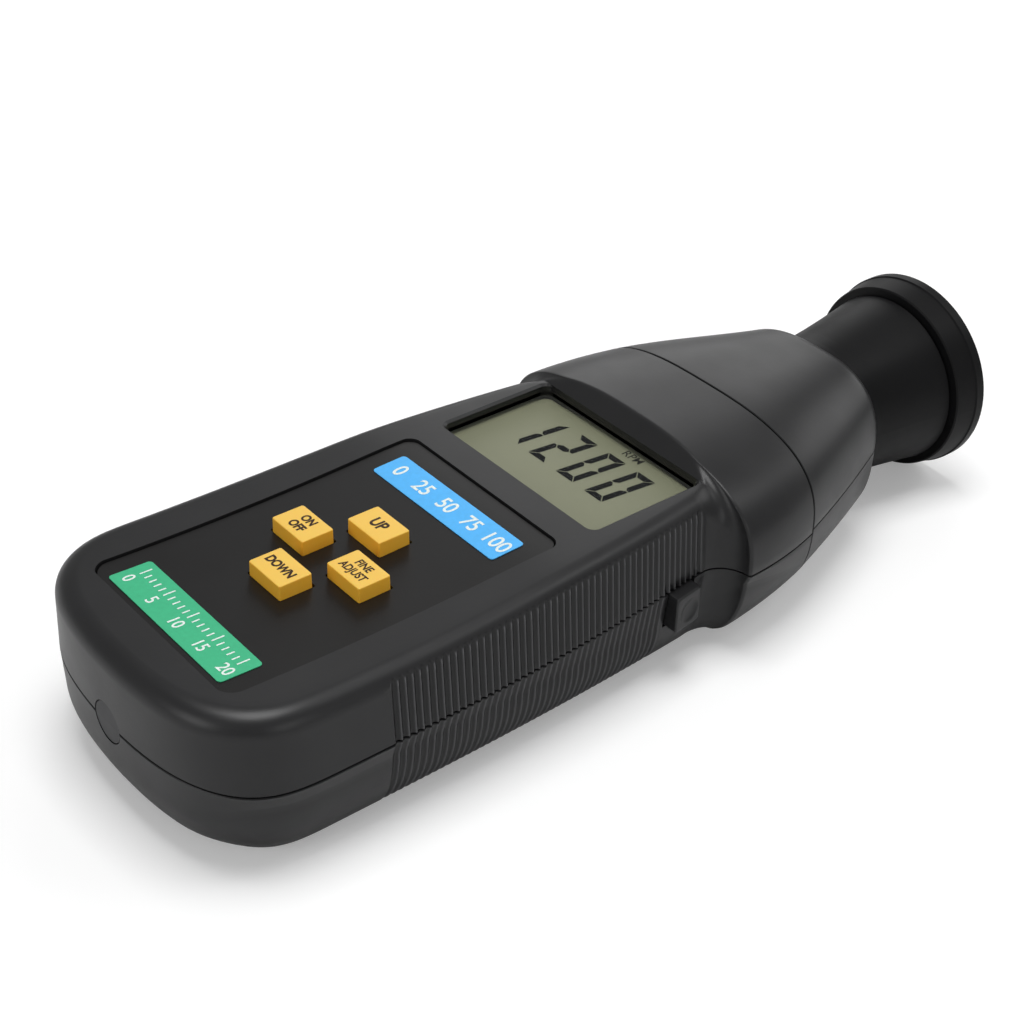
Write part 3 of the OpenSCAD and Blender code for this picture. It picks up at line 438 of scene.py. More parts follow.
def plate_outline(gap):
    """The faceplate's outline, bowed at the tail and drawn in toward both ends, grown by a gap."""
    w, l = PLATE_W + 2 * gap, PLATE_Y1 - PLATE_Y0 + 2 * gap
    pts = []
    for x, y in round_rect(w, l, PLATE_R, PLATE_CORNER_STEPS):
        bow = PLATE_BOW * (2 * x / w) ** 2 if y < 0 else 0
        pts.append((x * (1 - PLATE_WAIST * (2 * y / l) ** 2), (PLATE_Y0 + PLATE_Y1) / 2 + y + bow))
    edge = []
    for a, b in zip(pts, pts[1:] + pts[:1]):
        steps = PLATE_STEPS if math.dist(a, b) > 2 * PLATE_R else 1
        edge += [(a[0] + (b[0] - a[0]) * k / steps, a[1] + (b[1] - a[1]) * k / steps) for k in range(steps)]
    return np.array(edge)


def prism(name, loops):
    """A closed solid through level loops given as (outline, height)."""
    n = len(loops[0][0])
    verts = [(x, y, float(np.broadcast_to(z, n)[i])) for pts, z in loops for i, (x, y) in enumerate(pts)]
    faces = [(k * n + i, k * n + (i + 1) % n, (k + 1) * n + (i + 1) % n, (k + 1) * n + i)
             for k in range(len(loops) - 1) for i in range(n)]
    faces += [tuple(range(n)), tuple((len(loops) - 1) * n + i for i in range(n))]
    return new_object(name, verts, faces)


def tube(name, loops):
    """A closed ring through level loops given as (outline, height)."""
    n, count = len(loops[0][0]), len(loops)
    verts = [(x, y, z) for pts, z in loops for x, y in pts]
    faces = [(k * n + i, k * n + (i + 1) % n, (k + 1) % count * n + (i + 1) % n, (k + 1) % count * n + i)
             for k in range(count) for i in range(n)]
    return new_object(name, verts, faces)


def block(name, x0, x1, y0, y1, z0, z1):
    """A box between two corners."""
    pts = np.array([(x1, y1), (x0, y1), (x0, y0), (x1, y0)])
    return prism(name, [(pts, z0), (pts, z1)])


def circle(r, steps):
    """A circle about the origin."""
    a = np.linspace(0, 2 * math.pi, steps, endpoint=False)
    return np.stack([r * np.cos(a), r * np.sin(a)], 1)


def pin(name, x, y, r, z0, z1):
    """An upright cylinder."""
    pts = circle(r, PIN_STEPS) + np.array([x, y])
    return prism(name, [(pts, z0), (pts, z1)])


def drum(name, r, y0, y1, steps=128):
    """A cylinder about the lamp axis."""
    obj = prism(name, [(circle(r, steps), y0), (circle(r, steps), y1)])
    for v in obj.data.vertices:
        x, z, y = v.co
        v.co = (x, y, z + AXIS_Z * MM)
    turn_outward(obj)
    return obj


def turn_outward(obj):
    """Turns the faces outward again after points have changed places."""
    bm = bmesh.new()
    bm.from_mesh(obj.data)
    bmesh.ops.recalc_face_normals(bm, faces=bm.faces)
    bm.to_mesh(obj.data)
    bm.free()


def carve(obj, cutters, operation="DIFFERENCE"):
    """Cuts an object with closed cutters, which are used up."""
    for c in cutters:
        mod = obj.modifiers.new(c.name, "BOOLEAN")
        mod.object, mod.operation, mod.solver = c, operation, "EXACT"
    deps = bpy.context.evaluated_depsgraph_get()
    mesh = bpy.data.meshes.new_from_object(obj.evaluated_get(deps))
    obj.modifiers.clear()
    obj.data = mesh
    for c in cutters:
        bpy.data.objects.remove(c)
    return obj


def smooth(obj, angle=SHARP):
    """Smooth shading, but for the edges that turn by more than an angle."""
    obj.data.polygons.foreach_set("use_smooth", [True] * len(obj.data.polygons))
    obj.data.set_sharp_from_angle(angle=math.radians(angle))


def join(obj, extra):
    """Adds the meshes of other objects, which are used up."""
    bm = bmesh.new()
    bm.from_mesh(obj.data)
    for e in extra:
        bm.from_mesh(e.data)
        bpy.data.objects.remove(e)
    bm.to_mesh(obj.data)
    bm.free()


def mark_ribs(obj, up):
    """Stores where a point of the grip lies between groove, -1, and crest, 1; 0 where the side turns flat.
    The value paints shade into the grooves and a highlight on the crests.
    """
    crest = obj.data.attributes.new(CREST, "FLOAT", "POINT")
    for v, c in zip(obj.data.vertices, crest.data):
        y = v.co.y / MM
        turn = (y - RIB_Y0) / RIB_PITCH + 0.5
        if turn > 0 and y < RIB_END[up]:
            upright = 1 - float(ramp(*RIB_TURN[up], abs(v.normal.z)))
            c.value = (1 - 2 * groove_share(turn % 1 - 0.5)) * upright


def finish_piece(obj, material, body, slot, *replaced):
    """Gives a piece its material and body, and hides the CAD nodes that it replaces; the slot is not used."""
    obj.data.materials.clear()
    obj.data.materials.append(material)
    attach(obj, body)
    if replaced:
        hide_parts(*replaced)
    return obj


# Materials: colours as display values from 0 to 255, noise scales per metre, depths in millimetres

NOISE_LOW, NOISE_HIGH = 0.3, 0.7


def linear(r, g, b):
    """Linear values of a display colour."""
    return tuple((c / 255 / 12.92 if c <= 10 else ((c / 255 + 0.055) / 1.055) ** 2.4) for c in (r, g, b))


def mat_base(name, rough, spec=0.5):
    """A new material, its nodes and its shader."""
    mat = bpy.data.materials.new(name)
    mat.use_nodes = True
    shader = mat.node_tree.nodes["Principled BSDF"]
    shader.inputs["Roughness"].default_value = rough
    shader.inputs["Specular IOR Level"].default_value = spec
    return mat, mat.node_tree, shader


def coords(tree):
    """Places in the object's own frame."""
    return tree.nodes.new("ShaderNodeTexCoord").outputs["Object"]


def noise(tree, scale, detail=3.0, rough=0.5):
    """A noise in the object's own frame."""
    n = tree.nodes.new("ShaderNodeTexNoise")
    n.inputs["Scale"].default_value = scale
    n.inputs["Detail"].default_value = detail
    n.inputs["Roughness"].default_value = rough
    tree.links.new(coords(tree), n.inputs["Vector"])
    return n.outputs["Fac"]


def spread(tree, value, low, high):
    """Maps the range in which most of a noise lies to low and high."""
    m = tree.nodes.new("ShaderNodeMapRange")
    m.inputs["From Min"].default_value = NOISE_LOW
    m.inputs["From Max"].default_value = NOISE_HIGH
    m.inputs["To Min"].default_value = low
    m.inputs["To Max"].default_value = high
    tree.links.new(value, m.inputs["Value"])
    return m.outputs["Result"]


def tint(tree, fac, dark, light):
    """A mix of two linear colours."""
    m = tree.nodes.new("ShaderNodeMix")
    m.data_type = "RGBA"
    m.inputs["A"].default_value = (*dark, 1)
    m.inputs["B"].default_value = (*light, 1)
    tree.links.new(fac, m.inputs["Factor"])
    return m.outputs["Result"]


def clouded(tree, colour, low, high, scale, detail, rough=0.5):
    """A colour that drifts between two shares of itself."""
    base = np.array(linear(*colour))
    cloud = spread(tree, noise(tree, scale, detail, rough), 0, 1)
    return tint(tree, cloud, tuple(base * low), tuple(np.minimum(base * high, 1)))


def set_colour(tree, shader, colour):
    """Links a colour to the shader."""
    tree.links.new(colour, shader.inputs["Base Color"])


def set_gloss(tree, shader, low, high, scale, detail):
    """Roughness that drifts between two values."""
    tree.links.new(spread(tree, noise(tree, scale, detail), low, high), shader.inputs["Roughness"])


def grain(tree, shader, height, depth):
    """Fine relief of a surface."""
    b = tree.nodes.new("ShaderNodeBump")
    b.inputs["Strength"].default_value = 1.0
    b.inputs["Distance"].default_value = depth * MM
    tree.links.new(height, b.inputs["Height"])
    tree.links.new(b.outputs["Normal"], shader.inputs["Normal"])


def rubbed(tree, colour, shade_tone, light):
    """Grip ribs: painted shade darkens the grooves and a painted highlight pales the crests, by the mesh's
    own crest value.
    """
    crest = tree.nodes.new("ShaderNodeAttribute")
    crest.attribute_name = CREST
    # The groove tone is painted shade and the crest tone is a painted highlight
    for end, tone in ((-1, shade_tone), (1, light)):
        reach = tree.nodes.new("ShaderNodeMapRange")
        reach.inputs["From Max"].default_value = end
        tree.links.new(crest.outputs["Fac"], reach.inputs["Value"])
        m = tree.nodes.new("ShaderNodeMix")
        m.data_type = "RGBA"
        m.inputs["B"].default_value = (*tone, 1)
        tree.links.new(reach.outputs["Result"], m.inputs["Factor"])
        tree.links.new(colour, m.inputs["A"])
        colour = m.outputs["Result"]
    return colour


def moulded(name, colour, rough, texture=900, depth=0.012, vary=0.12, spec=0.5, rib_shade_and_highlight_tones=None):
    """Moulded plastic: fine spark-eroded grain, clouded colour and uneven gloss; with rib tones it also
    paints shade into the grip grooves and a highlight on their crests.
    """
    mat, tree, shader = mat_base(name, rough, spec)
    paint = clouded(tree, colour, 1 - vary, 1 + vary, scale=70, detail=4)
    if rib_shade_and_highlight_tones:
        paint = rubbed(tree, paint, *(linear(*tone) for tone in rib_shade_and_highlight_tones))
    set_colour(tree, shader, paint)
    set_gloss(tree, shader, rough - 0.02, rough + 0.03, scale=130, detail=5)
    grain(tree, shader, noise(tree, texture, detail=2), depth)
    return mat


def rubber(name, colour, shade_tone):
    """Amber key rubber, a little see-through and mottled, with painted shade: a deeper amber down the sides,
    set by which way the surface faces.
    """
    mat, tree, shader = mat_base(name, rough=0.5, spec=0.4)
    # Painted shade: the upward share of the normal mixes the top colour with the sides' shaded amber
    split = tree.nodes.new("ShaderNodeSeparateXYZ")
    tree.links.new(tree.nodes.new("ShaderNodeNewGeometry").outputs["Normal"], split.inputs["Vector"])
    mottle = spread(tree, noise(tree, scale=420, detail=4, rough=0.6), low=-0.06, high=0.06)
    lift = tree.nodes.new("ShaderNodeMath")
    lift.use_clamp = True
    tree.links.new(split.outputs["Z"], lift.inputs[0])
    tree.links.new(mottle, lift.inputs[1])
    set_colour(tree, shader, tint(tree, lift.outputs["Value"], linear(*shade_tone), linear(*colour)))
    set_gloss(tree, shader, 0.42, 0.58, scale=600, detail=3)
    grain(tree, shader, noise(tree, scale=1500, detail=2), depth=0.01)
    shader.inputs["Subsurface Weight"].default_value = 0.12
    shader.inputs["Subsurface Radius"].default_value = (1.0, 0.45, 0.08)
    shader.inputs["Subsurface Scale"].default_value = 0.6 * MM
    return mat


def film(name, colour):
    """Printed label film with finely clouded ink and a satin face."""
    mat, tree, shader = mat_base(name, rough=0.38, spec=0.45)
    set_colour(tree, shader, clouded(tree, colour, 0.94, 1.05, scale=900, detail=5, rough=0.65))
    set_gloss(tree, shader, 0.33, 0.44, scale=240, detail=3)
    grain(tree, shader, noise(tree, scale=2600, detail=1), depth=0.004)
    return mat


def metal(name, colour, rough):
    """Metal with a slightly stained colour and uneven polish."""
    mat, tree, shader = mat_base(name, rough)
    shader.inputs["Metallic"].default_value = 1.0
    set_colour(tree, shader, clouded(tree, colour, 0.85, 1.08, scale=300, detail=5, rough=0.6))
    set_gloss(tree, shader, rough - 0.05, rough + 0.08, scale=500, detail=3)
    grain(tree, shader, noise(tree, scale=1800, detail=1), depth=0.004)
    return mat


def clear(name, colour, alpha, rough):
    """A thin clear sheet: mostly open, with its own gloss and a trace of haze."""
    mat, tree, shader = mat_base(name, rough)
    set_colour(tree, shader, clouded(tree, colour, 0.95, 1, scale=90, detail=3))
    set_gloss(tree, shader, rough * 0.6, rough * 1.5, scale=220, detail=4)
    shader.inputs["Alpha"].default_value = alpha
    return mat


def lcd(name, colour):
    """Liquid crystal cell: even grey-olive with a very fine pixel haze."""
    mat, tree, shader = mat_base(name, rough=0.5, spec=0.3)
    set_colour(tree, shader, clouded(tree, colour, 0.97, 1.03, scale=60, detail=2))
    grain(tree, shader, noise(tree, scale=3000, detail=1), depth=0.003)
    return mat


def ink(name, colour, spec=0.3):
    """Matt print."""
    mat, tree, shader = mat_base(name, rough=0.55, spec=spec)
    set_colour(tree, shader, clouded(tree, colour, 0.85, 1.15, scale=2500, detail=3))
    return mat


# Shell plastic; its two rib tones are painted shade for the grooves and a painted highlight for the crests
BODY = moulded("shell_plastic", (32, 32, 33), 0.36, depth=0.008, vary=0.08, spec=0.36,
               rib_shade_and_highlight_tones=((7, 7, 8), (94, 94, 96)))
FACE = moulded("plate_plastic", (14, 13, 13), 0.36, texture=1300, depth=0.005, vary=0.06, spec=0.32)
LAMP = moulded("lamp_plastic", (16, 16, 17), 0.44, texture=1200, depth=0.005, vary=0.08, spec=0.13)
PLUG = moulded("plug_rubber", (44, 44, 46), 0.55, texture=700, depth=0.01)
# Key rubber; the second colour is painted shade for the key sides
KEY = rubber("key_amber", (238, 194, 88), shade_tone=(252, 188, 54))
BLUE = film("film_blue", (76, 178, 245))
GREEN = film("film_green", (58, 180, 130))
LCD = lcd("display_olive", (125, 127, 103))
INK = ink("display_ink", (8, 9, 11), spec=0.0)
MARK = ink("unit_ink", (52, 52, 46), spec=0.0)
LEGEND = ink("legend_brown", (54, 32, 14))
PRINT = ink("label_white", (226, 236, 232))
CLEAR = clear("window_clear", (190, 194, 190), alpha=0.03, rough=0.06)
LENS = clear("lens_clear", (240, 246, 250), alpha=0.16, rough=0.05)
TUBE = clear("tube_glass", (236, 240, 246), alpha=0.45, rough=0.08)
BRIGHT = metal("reflector_bright", (226, 228, 232), 0.12)
STEEL = metal("screw_steel", (150, 150, 148), 0.38)
SPRING = metal("spring_steel", (190, 188, 182), 0.3)
BOARD = moulded("board_green", (38, 92, 52), 0.4, texture=500, depth=0.006)
CHIP = moulded("chip_black", (26, 26, 28), 0.5, texture=800, depth=0.006)
WHITE = moulded("white_plastic", (214, 214, 206), 0.45, depth=0.008, vary=0.04)
CERAMIC = moulded("ceramic", (226, 222, 210), 0.5, texture=600, depth=0.01, vary=0.04)
JACKET = moulded("cell_jacket", (186, 130, 52), 0.35, texture=400, depth=0.006, vary=0.1)
SLEEVE = moulded("capacitor_sleeve", (36, 54, 92), 0.3, texture=400, depth=0.004, vary=0.08)
WINDING = moulded("winding", (158, 104, 44), 0.4, texture=1600, depth=0.03, vary=0.2)


# Pieces

def display_cutter():
    """Opening of the display, its rim eased on all sides but the hood's."""
    plain = round_rect(DISP_W, DISP_L, DISP_R) + DISP_MID
    wide = round_rect(DISP_W + RIM_W, DISP_L + RIM_L, DISP_R + RIM_R) + DISP_MID
    wide[:, 1] = np.minimum(wide[:, 1], DISP_Y1)
    low, high = DISP_CUT
    return prism("display_cut", [(plain, low), (plain, RIM_LOW), (wide, RIM_HIGH), (wide, high)])


def plate_cutter():
    """Pocket of the faceplate."""
    rim = plate_outline(PLATE_GAP) + np.array(POCKET_SHIFT)
    z = face_z(rim[:, 1])
    return prism("plate_cut", [(rim, z - POCKET_D), (rim, z + POCKET_TOP)])


def key_cutters(gap):
    """Holes of the keys, a little off toward the left and the nose."""
    out = []
    for name, at in KEYS.items():
        hole = round_rect(KEY_W + 2 * gap, KEY_L + 2 * gap, KEY_CORNER, HOLE_STEPS)
        pts = hole + np.array(at) + np.array(HOLE_SHIFT)
        out.append(prism(name + "_cut", [(pts, z) for z in KEY_CUT]))
    return out


def plug_cutter():
    """Hole of the tail plug."""
    return drum("plug_cut", PLUG_R + PLUG_GAP, TAIL_Y - OVER, TAIL_Y + PLUG_IN, PLUG_STEPS)


def display_frame():
    """Frame inside the housing on which the window lies."""
    inner = round_rect(DISP_W, DISP_L, DISP_R) + DISP_MID
    outer = round_rect(DISP_W + 2 * FRAME_W, DISP_L + 2 * FRAME_W, DISP_R + FRAME_W) + DISP_MID
    top = WINDOW_Z + FRAME_T
    return tube("display_frame", [(inner, WINDOW_Z), (inner, top), (outer, top), (outer, WINDOW_Z)])


def ray_tree(obj):
    """Tree of a skin's faces, to find its height from below."""
    faces = [tuple(p.vertices) for p in obj.data.polygons]
    return BVHTree.FromPolygons([v.co for v in obj.data.vertices], faces)


def screw_tube(skin, x, y, seat):
    """Boss with the deep sink of a housing screw; it starts in the wall of the skin."""
    at = np.array([x, y])
    below = [Vector((*p, RAY_Z)) * MM for p in circle(BOSS_R, FOOT_RAYS) + at]
    hits = [skin.ray_cast(p, Vector((0, 0, 1)))[0] for p in below]
    foot = max(hit.z for hit in hits if hit) / MM + FOOT_IN
    loops = [(SINK_R, foot), (SINK_R, seat), (SHANK_R, seat),
             (SHANK_R, BOSS_TOP), (BOSS_R, BOSS_TOP), (BOSS_R, foot)]
    return tube("screw_tube", [(circle(r, PIN_STEPS) + at, z) for r, z in loops])


def build_upper_shell():
    """Upper shell with its pocket, display opening, key holes and plug hole."""
    obj = loft("upper_shell_skin", outer_sections(1))
    cutters = [loft("inner", inner_sections(1)), plate_cutter(), display_cutter()]
    carve(obj, cutters + key_cutters(SHELL_HOLE_GAP) + [plug_cutter()])
    join(obj, [display_frame()])
    mark_ribs(obj, 1)
    smooth(obj)
    return finish_piece(obj, BODY, "housing", "body_plastic", "upper_shell")


def build_lower_shell():
    """Lower shell with its door opening, trigger slot, plug hole and screw bosses."""
    obj = loft("lower_shell_skin", outer_sections(-1))
    skin = ray_tree(obj)
    g = RUN_GAP
    door_x = DOOR_W / 2 + g
    trig_y, trig_z = (TRIG_Y - g, TRIG_Y + TRIG_L + g), (TRIG_TOP - TRIG_H - g, AXIS_Z + 2 * OVER)
    cutters = [loft("inner", inner_sections(-1)),
               block("door_cut", -door_x, door_x, DOOR_Y0 - g, DOOR_Y1 + g, BELOW, DOOR_TOP + g),
               block("trigger_cut", TRIG_BACK, SHOULDER_W, *trig_y, *trig_z),
               plug_cutter()]
    places = [(m * x, y) for x, y in SCREWS for m in (-1, 1)]
    carve(obj, cutters + [pin("sink", x, y, SINK_R, BELOW, SEAT_Z) for x, y in places])
    join(obj, [screw_tube(skin, x, y, SEAT_Z) for x, y in places])
    mark_ribs(obj, -1)
    smooth(obj)
    return finish_piece(obj, BODY, "housing", "body_plastic", "lower_shell")


def build_nose_cap(up):
    """Upper or lower nose half, bored for the lamp barrel; the lower one has the screw bosses."""
    name = "nose_cap_top" if up > 0 else "nose_cap_bottom"
    obj = loft(name + "_skin", nose_sections(up))
    skin = ray_tree(obj)
    cutters = [loft("inner", nose_hollow(up)), drum("bore", BARREL_R + BORE_GAP, SPLIT_Y, NOSE_Y + 2 * OVER)]
    places = [(m * NOSE_SCREW[0], NOSE_SCREW[1]) for m in (-1, 1)]
    if up < 0:
        cutters += [pin("sink", x, y, SINK_R, BELOW, NOSE_SEAT_Z) for x, y in places]
    carve(obj, cutters)
    if up < 0:
        join(obj, [screw_tube(skin, x, y, NOSE_SEAT_Z) for x, y in places])
    smooth(obj)
    return finish_piece(obj, BODY, "housing", "body_plastic", name)


def bent_sheet(name, outline, rise, thick, holes=()):
    """A sheet that follows the dip of the face, cut to its outline."""
    half = np.abs(outline[:, 0]).max() + OVER
    rows = np.arange(outline[:, 1].min() - OVER, outline[:, 1].max() + 2 * OVER)
    verts = []
    for y in rows:
        top = float(face_z(y)) + rise
        low = top - thick
        verts += [(x, y, z) for x, z in ((half, low), (half, top), (-half, top), (-half, low))]
    faces = [(4 * k + i, 4 * k + (i + 1) % 4, 4 * k + 4 + (i + 1) % 4, 4 * k + 4 + i)
             for k in range(len(rows) - 1) for i in range(4)]
    faces += [(0, 1, 2, 3), tuple(4 * (len(rows) - 1) + i for i in range(4))]
    obj = new_object(name, verts, faces)
    carve(obj, [prism("outline", [(outline, z) for z in SHEET_CUT])], "INTERSECT")
    if holes:
        carve(obj, holes)
    smooth(obj)
    return obj


def build_faceplate():
    """Dark panel under the keys."""
    obj = bent_sheet("faceplate_sheet", plate_outline(0), -PLATE_SINK, PLATE_T, key_cutters(HOLE_GAP))
    return finish_piece(obj, FACE, "housing", "face_plastic", "faceplate")


def build_label(node, material, slot):
    """Label film in the place of its CAD node."""
    low, high = (np.array(corner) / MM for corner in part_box(node))
    outline = round_rect(high[0] - low[0], high[1] - low[1], LABEL_R) + (low[:2] + high[:2]) / 2
    obj = bent_sheet(node + "_film", outline, LABEL_T - PLATE_SINK, LABEL_T)
    return finish_piece(obj, material, "housing", slot, node)


def build_key(name):
    """Rubber key: straight sides, an eased rim and a flange under the face."""
    at = np.array(KEYS[name])
    top = float(face_z(at[1])) - PLATE_SINK + KEY_RISE
    flange = float(face_z(KEY_Y)) - WALL - FLANGE_GAP
    foot = round_rect(KEY_W + FLANGE_OVER, KEY_L + FLANGE_OVER, FLANGE_R, KEY_STEPS)
    side = round_rect(KEY_W, KEY_L, KEY_CORNER, KEY_STEPS)
    loops = [(foot, flange - FLANGE_T), (foot, flange), (side, flange + LEDGE)]
    for a in EASE_TURN:
        d = 2 * KEY_EASE * (1 - math.cos(a)) + KEY_TAPER
        rim = round_rect(KEY_W - d, KEY_L - d, KEY_CORNER, KEY_STEPS)
        loops.append((rim, top - KEY_EASE * (1 - math.sin(a))))
    for f in KEY_TOP:
        inner = round_rect((KEY_W - KEY_TOP_IN) * f, (KEY_L - KEY_TOP_IN) * f, KEY_TOP_R * f, KEY_STEPS)
        loops.append((inner, top + KEY_DOME * (1 - f)))
    obj = prism(name + "_cap", [(pts + at, z) for pts, z in loops])
    smooth(obj, SHARP_SMALL)
    return finish_piece(obj, KEY, KEY_BODIES[name], "key_rubber", name)


def build_trigger():
    """Trigger button: eased edges, a leaning face with a round dimple, a keeper plate inside."""
    size = np.array([TRIG_L, TRIG_H])
    flat = squircle(*size, TRIG_SQUARE)
    keeper = squircle(*(size + np.array(KEEPER_OVER)), KEEPER_SQUARE) - np.array([0, KEEPER_DROP])
    plate_out = -TRIG_BACK - KEEPER_OUT
    loops = [(keeper, -TRIG_BACK + KEEPER_IN), (keeper, plate_out), (flat, plate_out - LEDGE)]
    for a in EASE_TURN:
        d = TRIG_EASE * (1 - math.cos(a))
        loops.append((flat * (1 - 2 * d / size), -TRIG_X + TRIG_EASE * (1 - math.sin(a))))
    loops += [(circle(DIMPLE_R * f, len(flat)) + np.array(DIMPLE_AT), -TRIG_X + DIMPLE_D * d)
              for f, d in DIMPLE_SHAPE]
    obj = prism("trigger_button", loops)
    for v in obj.data.vertices:
        along, high, out = v.co / MM
        lean = TRIG_LEAN * (along + TRIG_L / 2) if -out > TRIG_X - LEAN_REACH else 0
        v.co = Vector((-out - lean, TRIG_Y + TRIG_L / 2 + along, TRIG_TOP - TRIG_H / 2 + high)) * MM
    turn_outward(obj)
    smooth(obj, SHARP_SMALL)
    return finish_piece(obj, BODY, "side_trigger", "body_plastic", "trigger")


def segment(key, w, h, s, g):
    """Outline of one bar of a digit, mitred at the corners with a fine slit to its neighbours."""
    m, t = h / 2, s / 2
    upper = [(0, h - g), (0, m + g), (t, m + g), (s, m + t + g), (s, h - s - g)]
    top = [(g, h), (s + g, h - s), (w - s - g, h - s), (w - g, h)]
    middle = [(t + g, m), (s + g, m + t), (w - s - g, m + t),
              (w - t - g, m), (w - s - g, m - t), (s + g, m - t)]
    bars = {"a": top, "g": middle, "f": upper, "d": [(x, h - y) for x, y in top]}
    bars["e"] = [(x, h - y) for x, y in upper]
    bars["b"] = [(w - x, y) for x, y in upper]
    bars["c"] = [(w - x, h - y) for x, y in upper]
    return bars[key]


def build_digits():
    """Seven-bar digits of the display, leaning to the right."""
    verts, faces = [], []
    for i, ch in enumerate(DIGITS):
        for key in SEGMENTS[ch]:
            pts = segment(key, DIGIT_W, DIGIT_H, STROKE, SLIT)
            faces.append(tuple(range(len(verts), len(verts) + len(pts))))
            left = DIGIT_X + i * DIGIT_PITCH
            verts += [(left + x + DIGIT_SLANT * (y - DIGIT_H / 2), DIGIT_Y + y, PANEL_TOP + PRINT_LIFT)
                      for x, y in pts]
    obj = new_object("display_digits", verts, faces)
    return finish_piece(obj, INK, "housing", "display_cell")


def build_text(name, words, x, y, z, size, material, body, slot, bold=0.0, stretch=1.0, slope=0.0):
    """Words centred at a place, stretched across and sloped along the face."""
    curve = bpy.data.curves.new(name, "FONT")
    curve.body = words
    curve.size = size * MM
    curve.align_x = "CENTER"
    curve.align_y = "CENTER"
    curve.offset = bold * MM
    curve.extrude = LETTER_T * MM
    obj = bpy.data.objects.new(name, curve)
    bpy.context.collection.objects.link(obj)
    obj.location = (x * MM, y * MM, z * MM)
    obj.rotation_euler = (math.atan(slope), 0, 0)
    obj.scale = (stretch, 1, 1)
    bpy.context.view_layer.update()
    return finish_piece(obj, material, body, slot)


def build_legends():
    """Function words on the keys."""
    for name, (x, y) in KEYS.items():
        top = float(face_z(y)) - PLATE_SINK + KEY_RISE + LEGEND_LIFT
        words, size, bold = LEGENDS[name]
        body = KEY_BODIES[name]
        build_text(name + "_legend", words, x, y, top, size, LEGEND, body, "key_rubber", bold, LEGEND_STRETCH)


def face_slope(y):
    """Slope of the face, taken over one millimetre."""
    return float(face_z(y + 0.5) - face_z(y - 0.5))


def label_z(y):
    """Height of the print on the labels."""
    return float(face_z(y)) - PLATE_SINK + LABEL_T + PRINT_LIFT


def build_scales():
    """Plain white numbers in the place of the lettering on the two labels."""
    for i in range(BLUE_NUMBERS):
        x = BLUE_STEP * (i - (BLUE_NUMBERS - 1) / 2)
        build_text(f"blue_number_{i}", str(BLUE_SPAN * i), x, BLUE_Y, label_z(BLUE_Y), BLUE_SIZE, PRINT,
                   "housing", "blue_film", BLUE_BOLD, NUMBER_STRETCH, face_slope(BLUE_Y))
    verts = []
    for i in range(GREEN_TICKS + 1):
        x = GREEN_STEP * (i - GREEN_TICKS / 2)
        low, high = TICK_Y, TICK_Y + (TICK_SHORT if i % GREEN_MAJOR else TICK_TALL)
        corners = ((TICK_HALF, low), (TICK_HALF, high), (-TICK_HALF, high), (-TICK_HALF, low))
        verts += [(x + dx, y, label_z(y)) for dx, y in corners]
    ticks = new_object("green_ticks", verts, [tuple(range(k, k + 4)) for k in range(0, len(verts), 4)])
    finish_piece(ticks, PRINT, "housing", "green_film")
    for i in range(0, GREEN_TICKS + 1, GREEN_MAJOR):
        x = GREEN_STEP * (i - GREEN_TICKS / 2)
        build_text(f"green_number_{i}", str(i), x, NUMBER_Y, label_z(NUMBER_Y), GREEN_SIZE, PRINT,
                   "housing", "green_film", GREEN_BOLD, NUMBER_STRETCH, face_slope(NUMBER_Y))


# Materials of the CAD nodes that are shown as they are
LOOKS = {"display_window": CLEAR, "display_panel": LCD, "display_holder": WHITE, "contact_strips": PLUG,
         "key_switches": CHIP, "main_board": BOARD, "board_chips": CHIP, "board_screws": STEEL,
         "trigger_switch": CHIP, "tail_plug": PLUG, "battery_tray": BODY, "battery_cells": JACKET,
         "battery_springs": SPRING, "battery_contacts": SPRING, "battery_door": BODY, "power_board": BOARD,
         "flash_capacitor": SLEEVE, "step_up_coil": WINDING, "lamp_barrel": LAMP, "lamp_ring": LAMP,
         "front_lens": LENS, "reflector": BRIGHT, "flash_tube": TUBE, "lamp_socket": CERAMIC,
         "ignition_coil": WINDING, "housing_screws": STEEL, "nose_screws": STEEL}


def dress_nodes():
    """Gives the shown CAD nodes their materials."""
    for name, mat in LOOKS.items():
        nodes[name].data.materials.clear()
        nodes[name].data.materials.append(mat)


# Studio: the floor's fade, the lights' reach and their widths in metres

FLOOR_LIFT, FLOOR_FADE, FLOOR_GAP, FLOOR_HALF = 0.26, (0.3, 0.8), 0.1, 3000
FLOOR_DARK, FLOOR_LIGHT, WORLD_LEVEL = 0.79, 0.81, 0.29


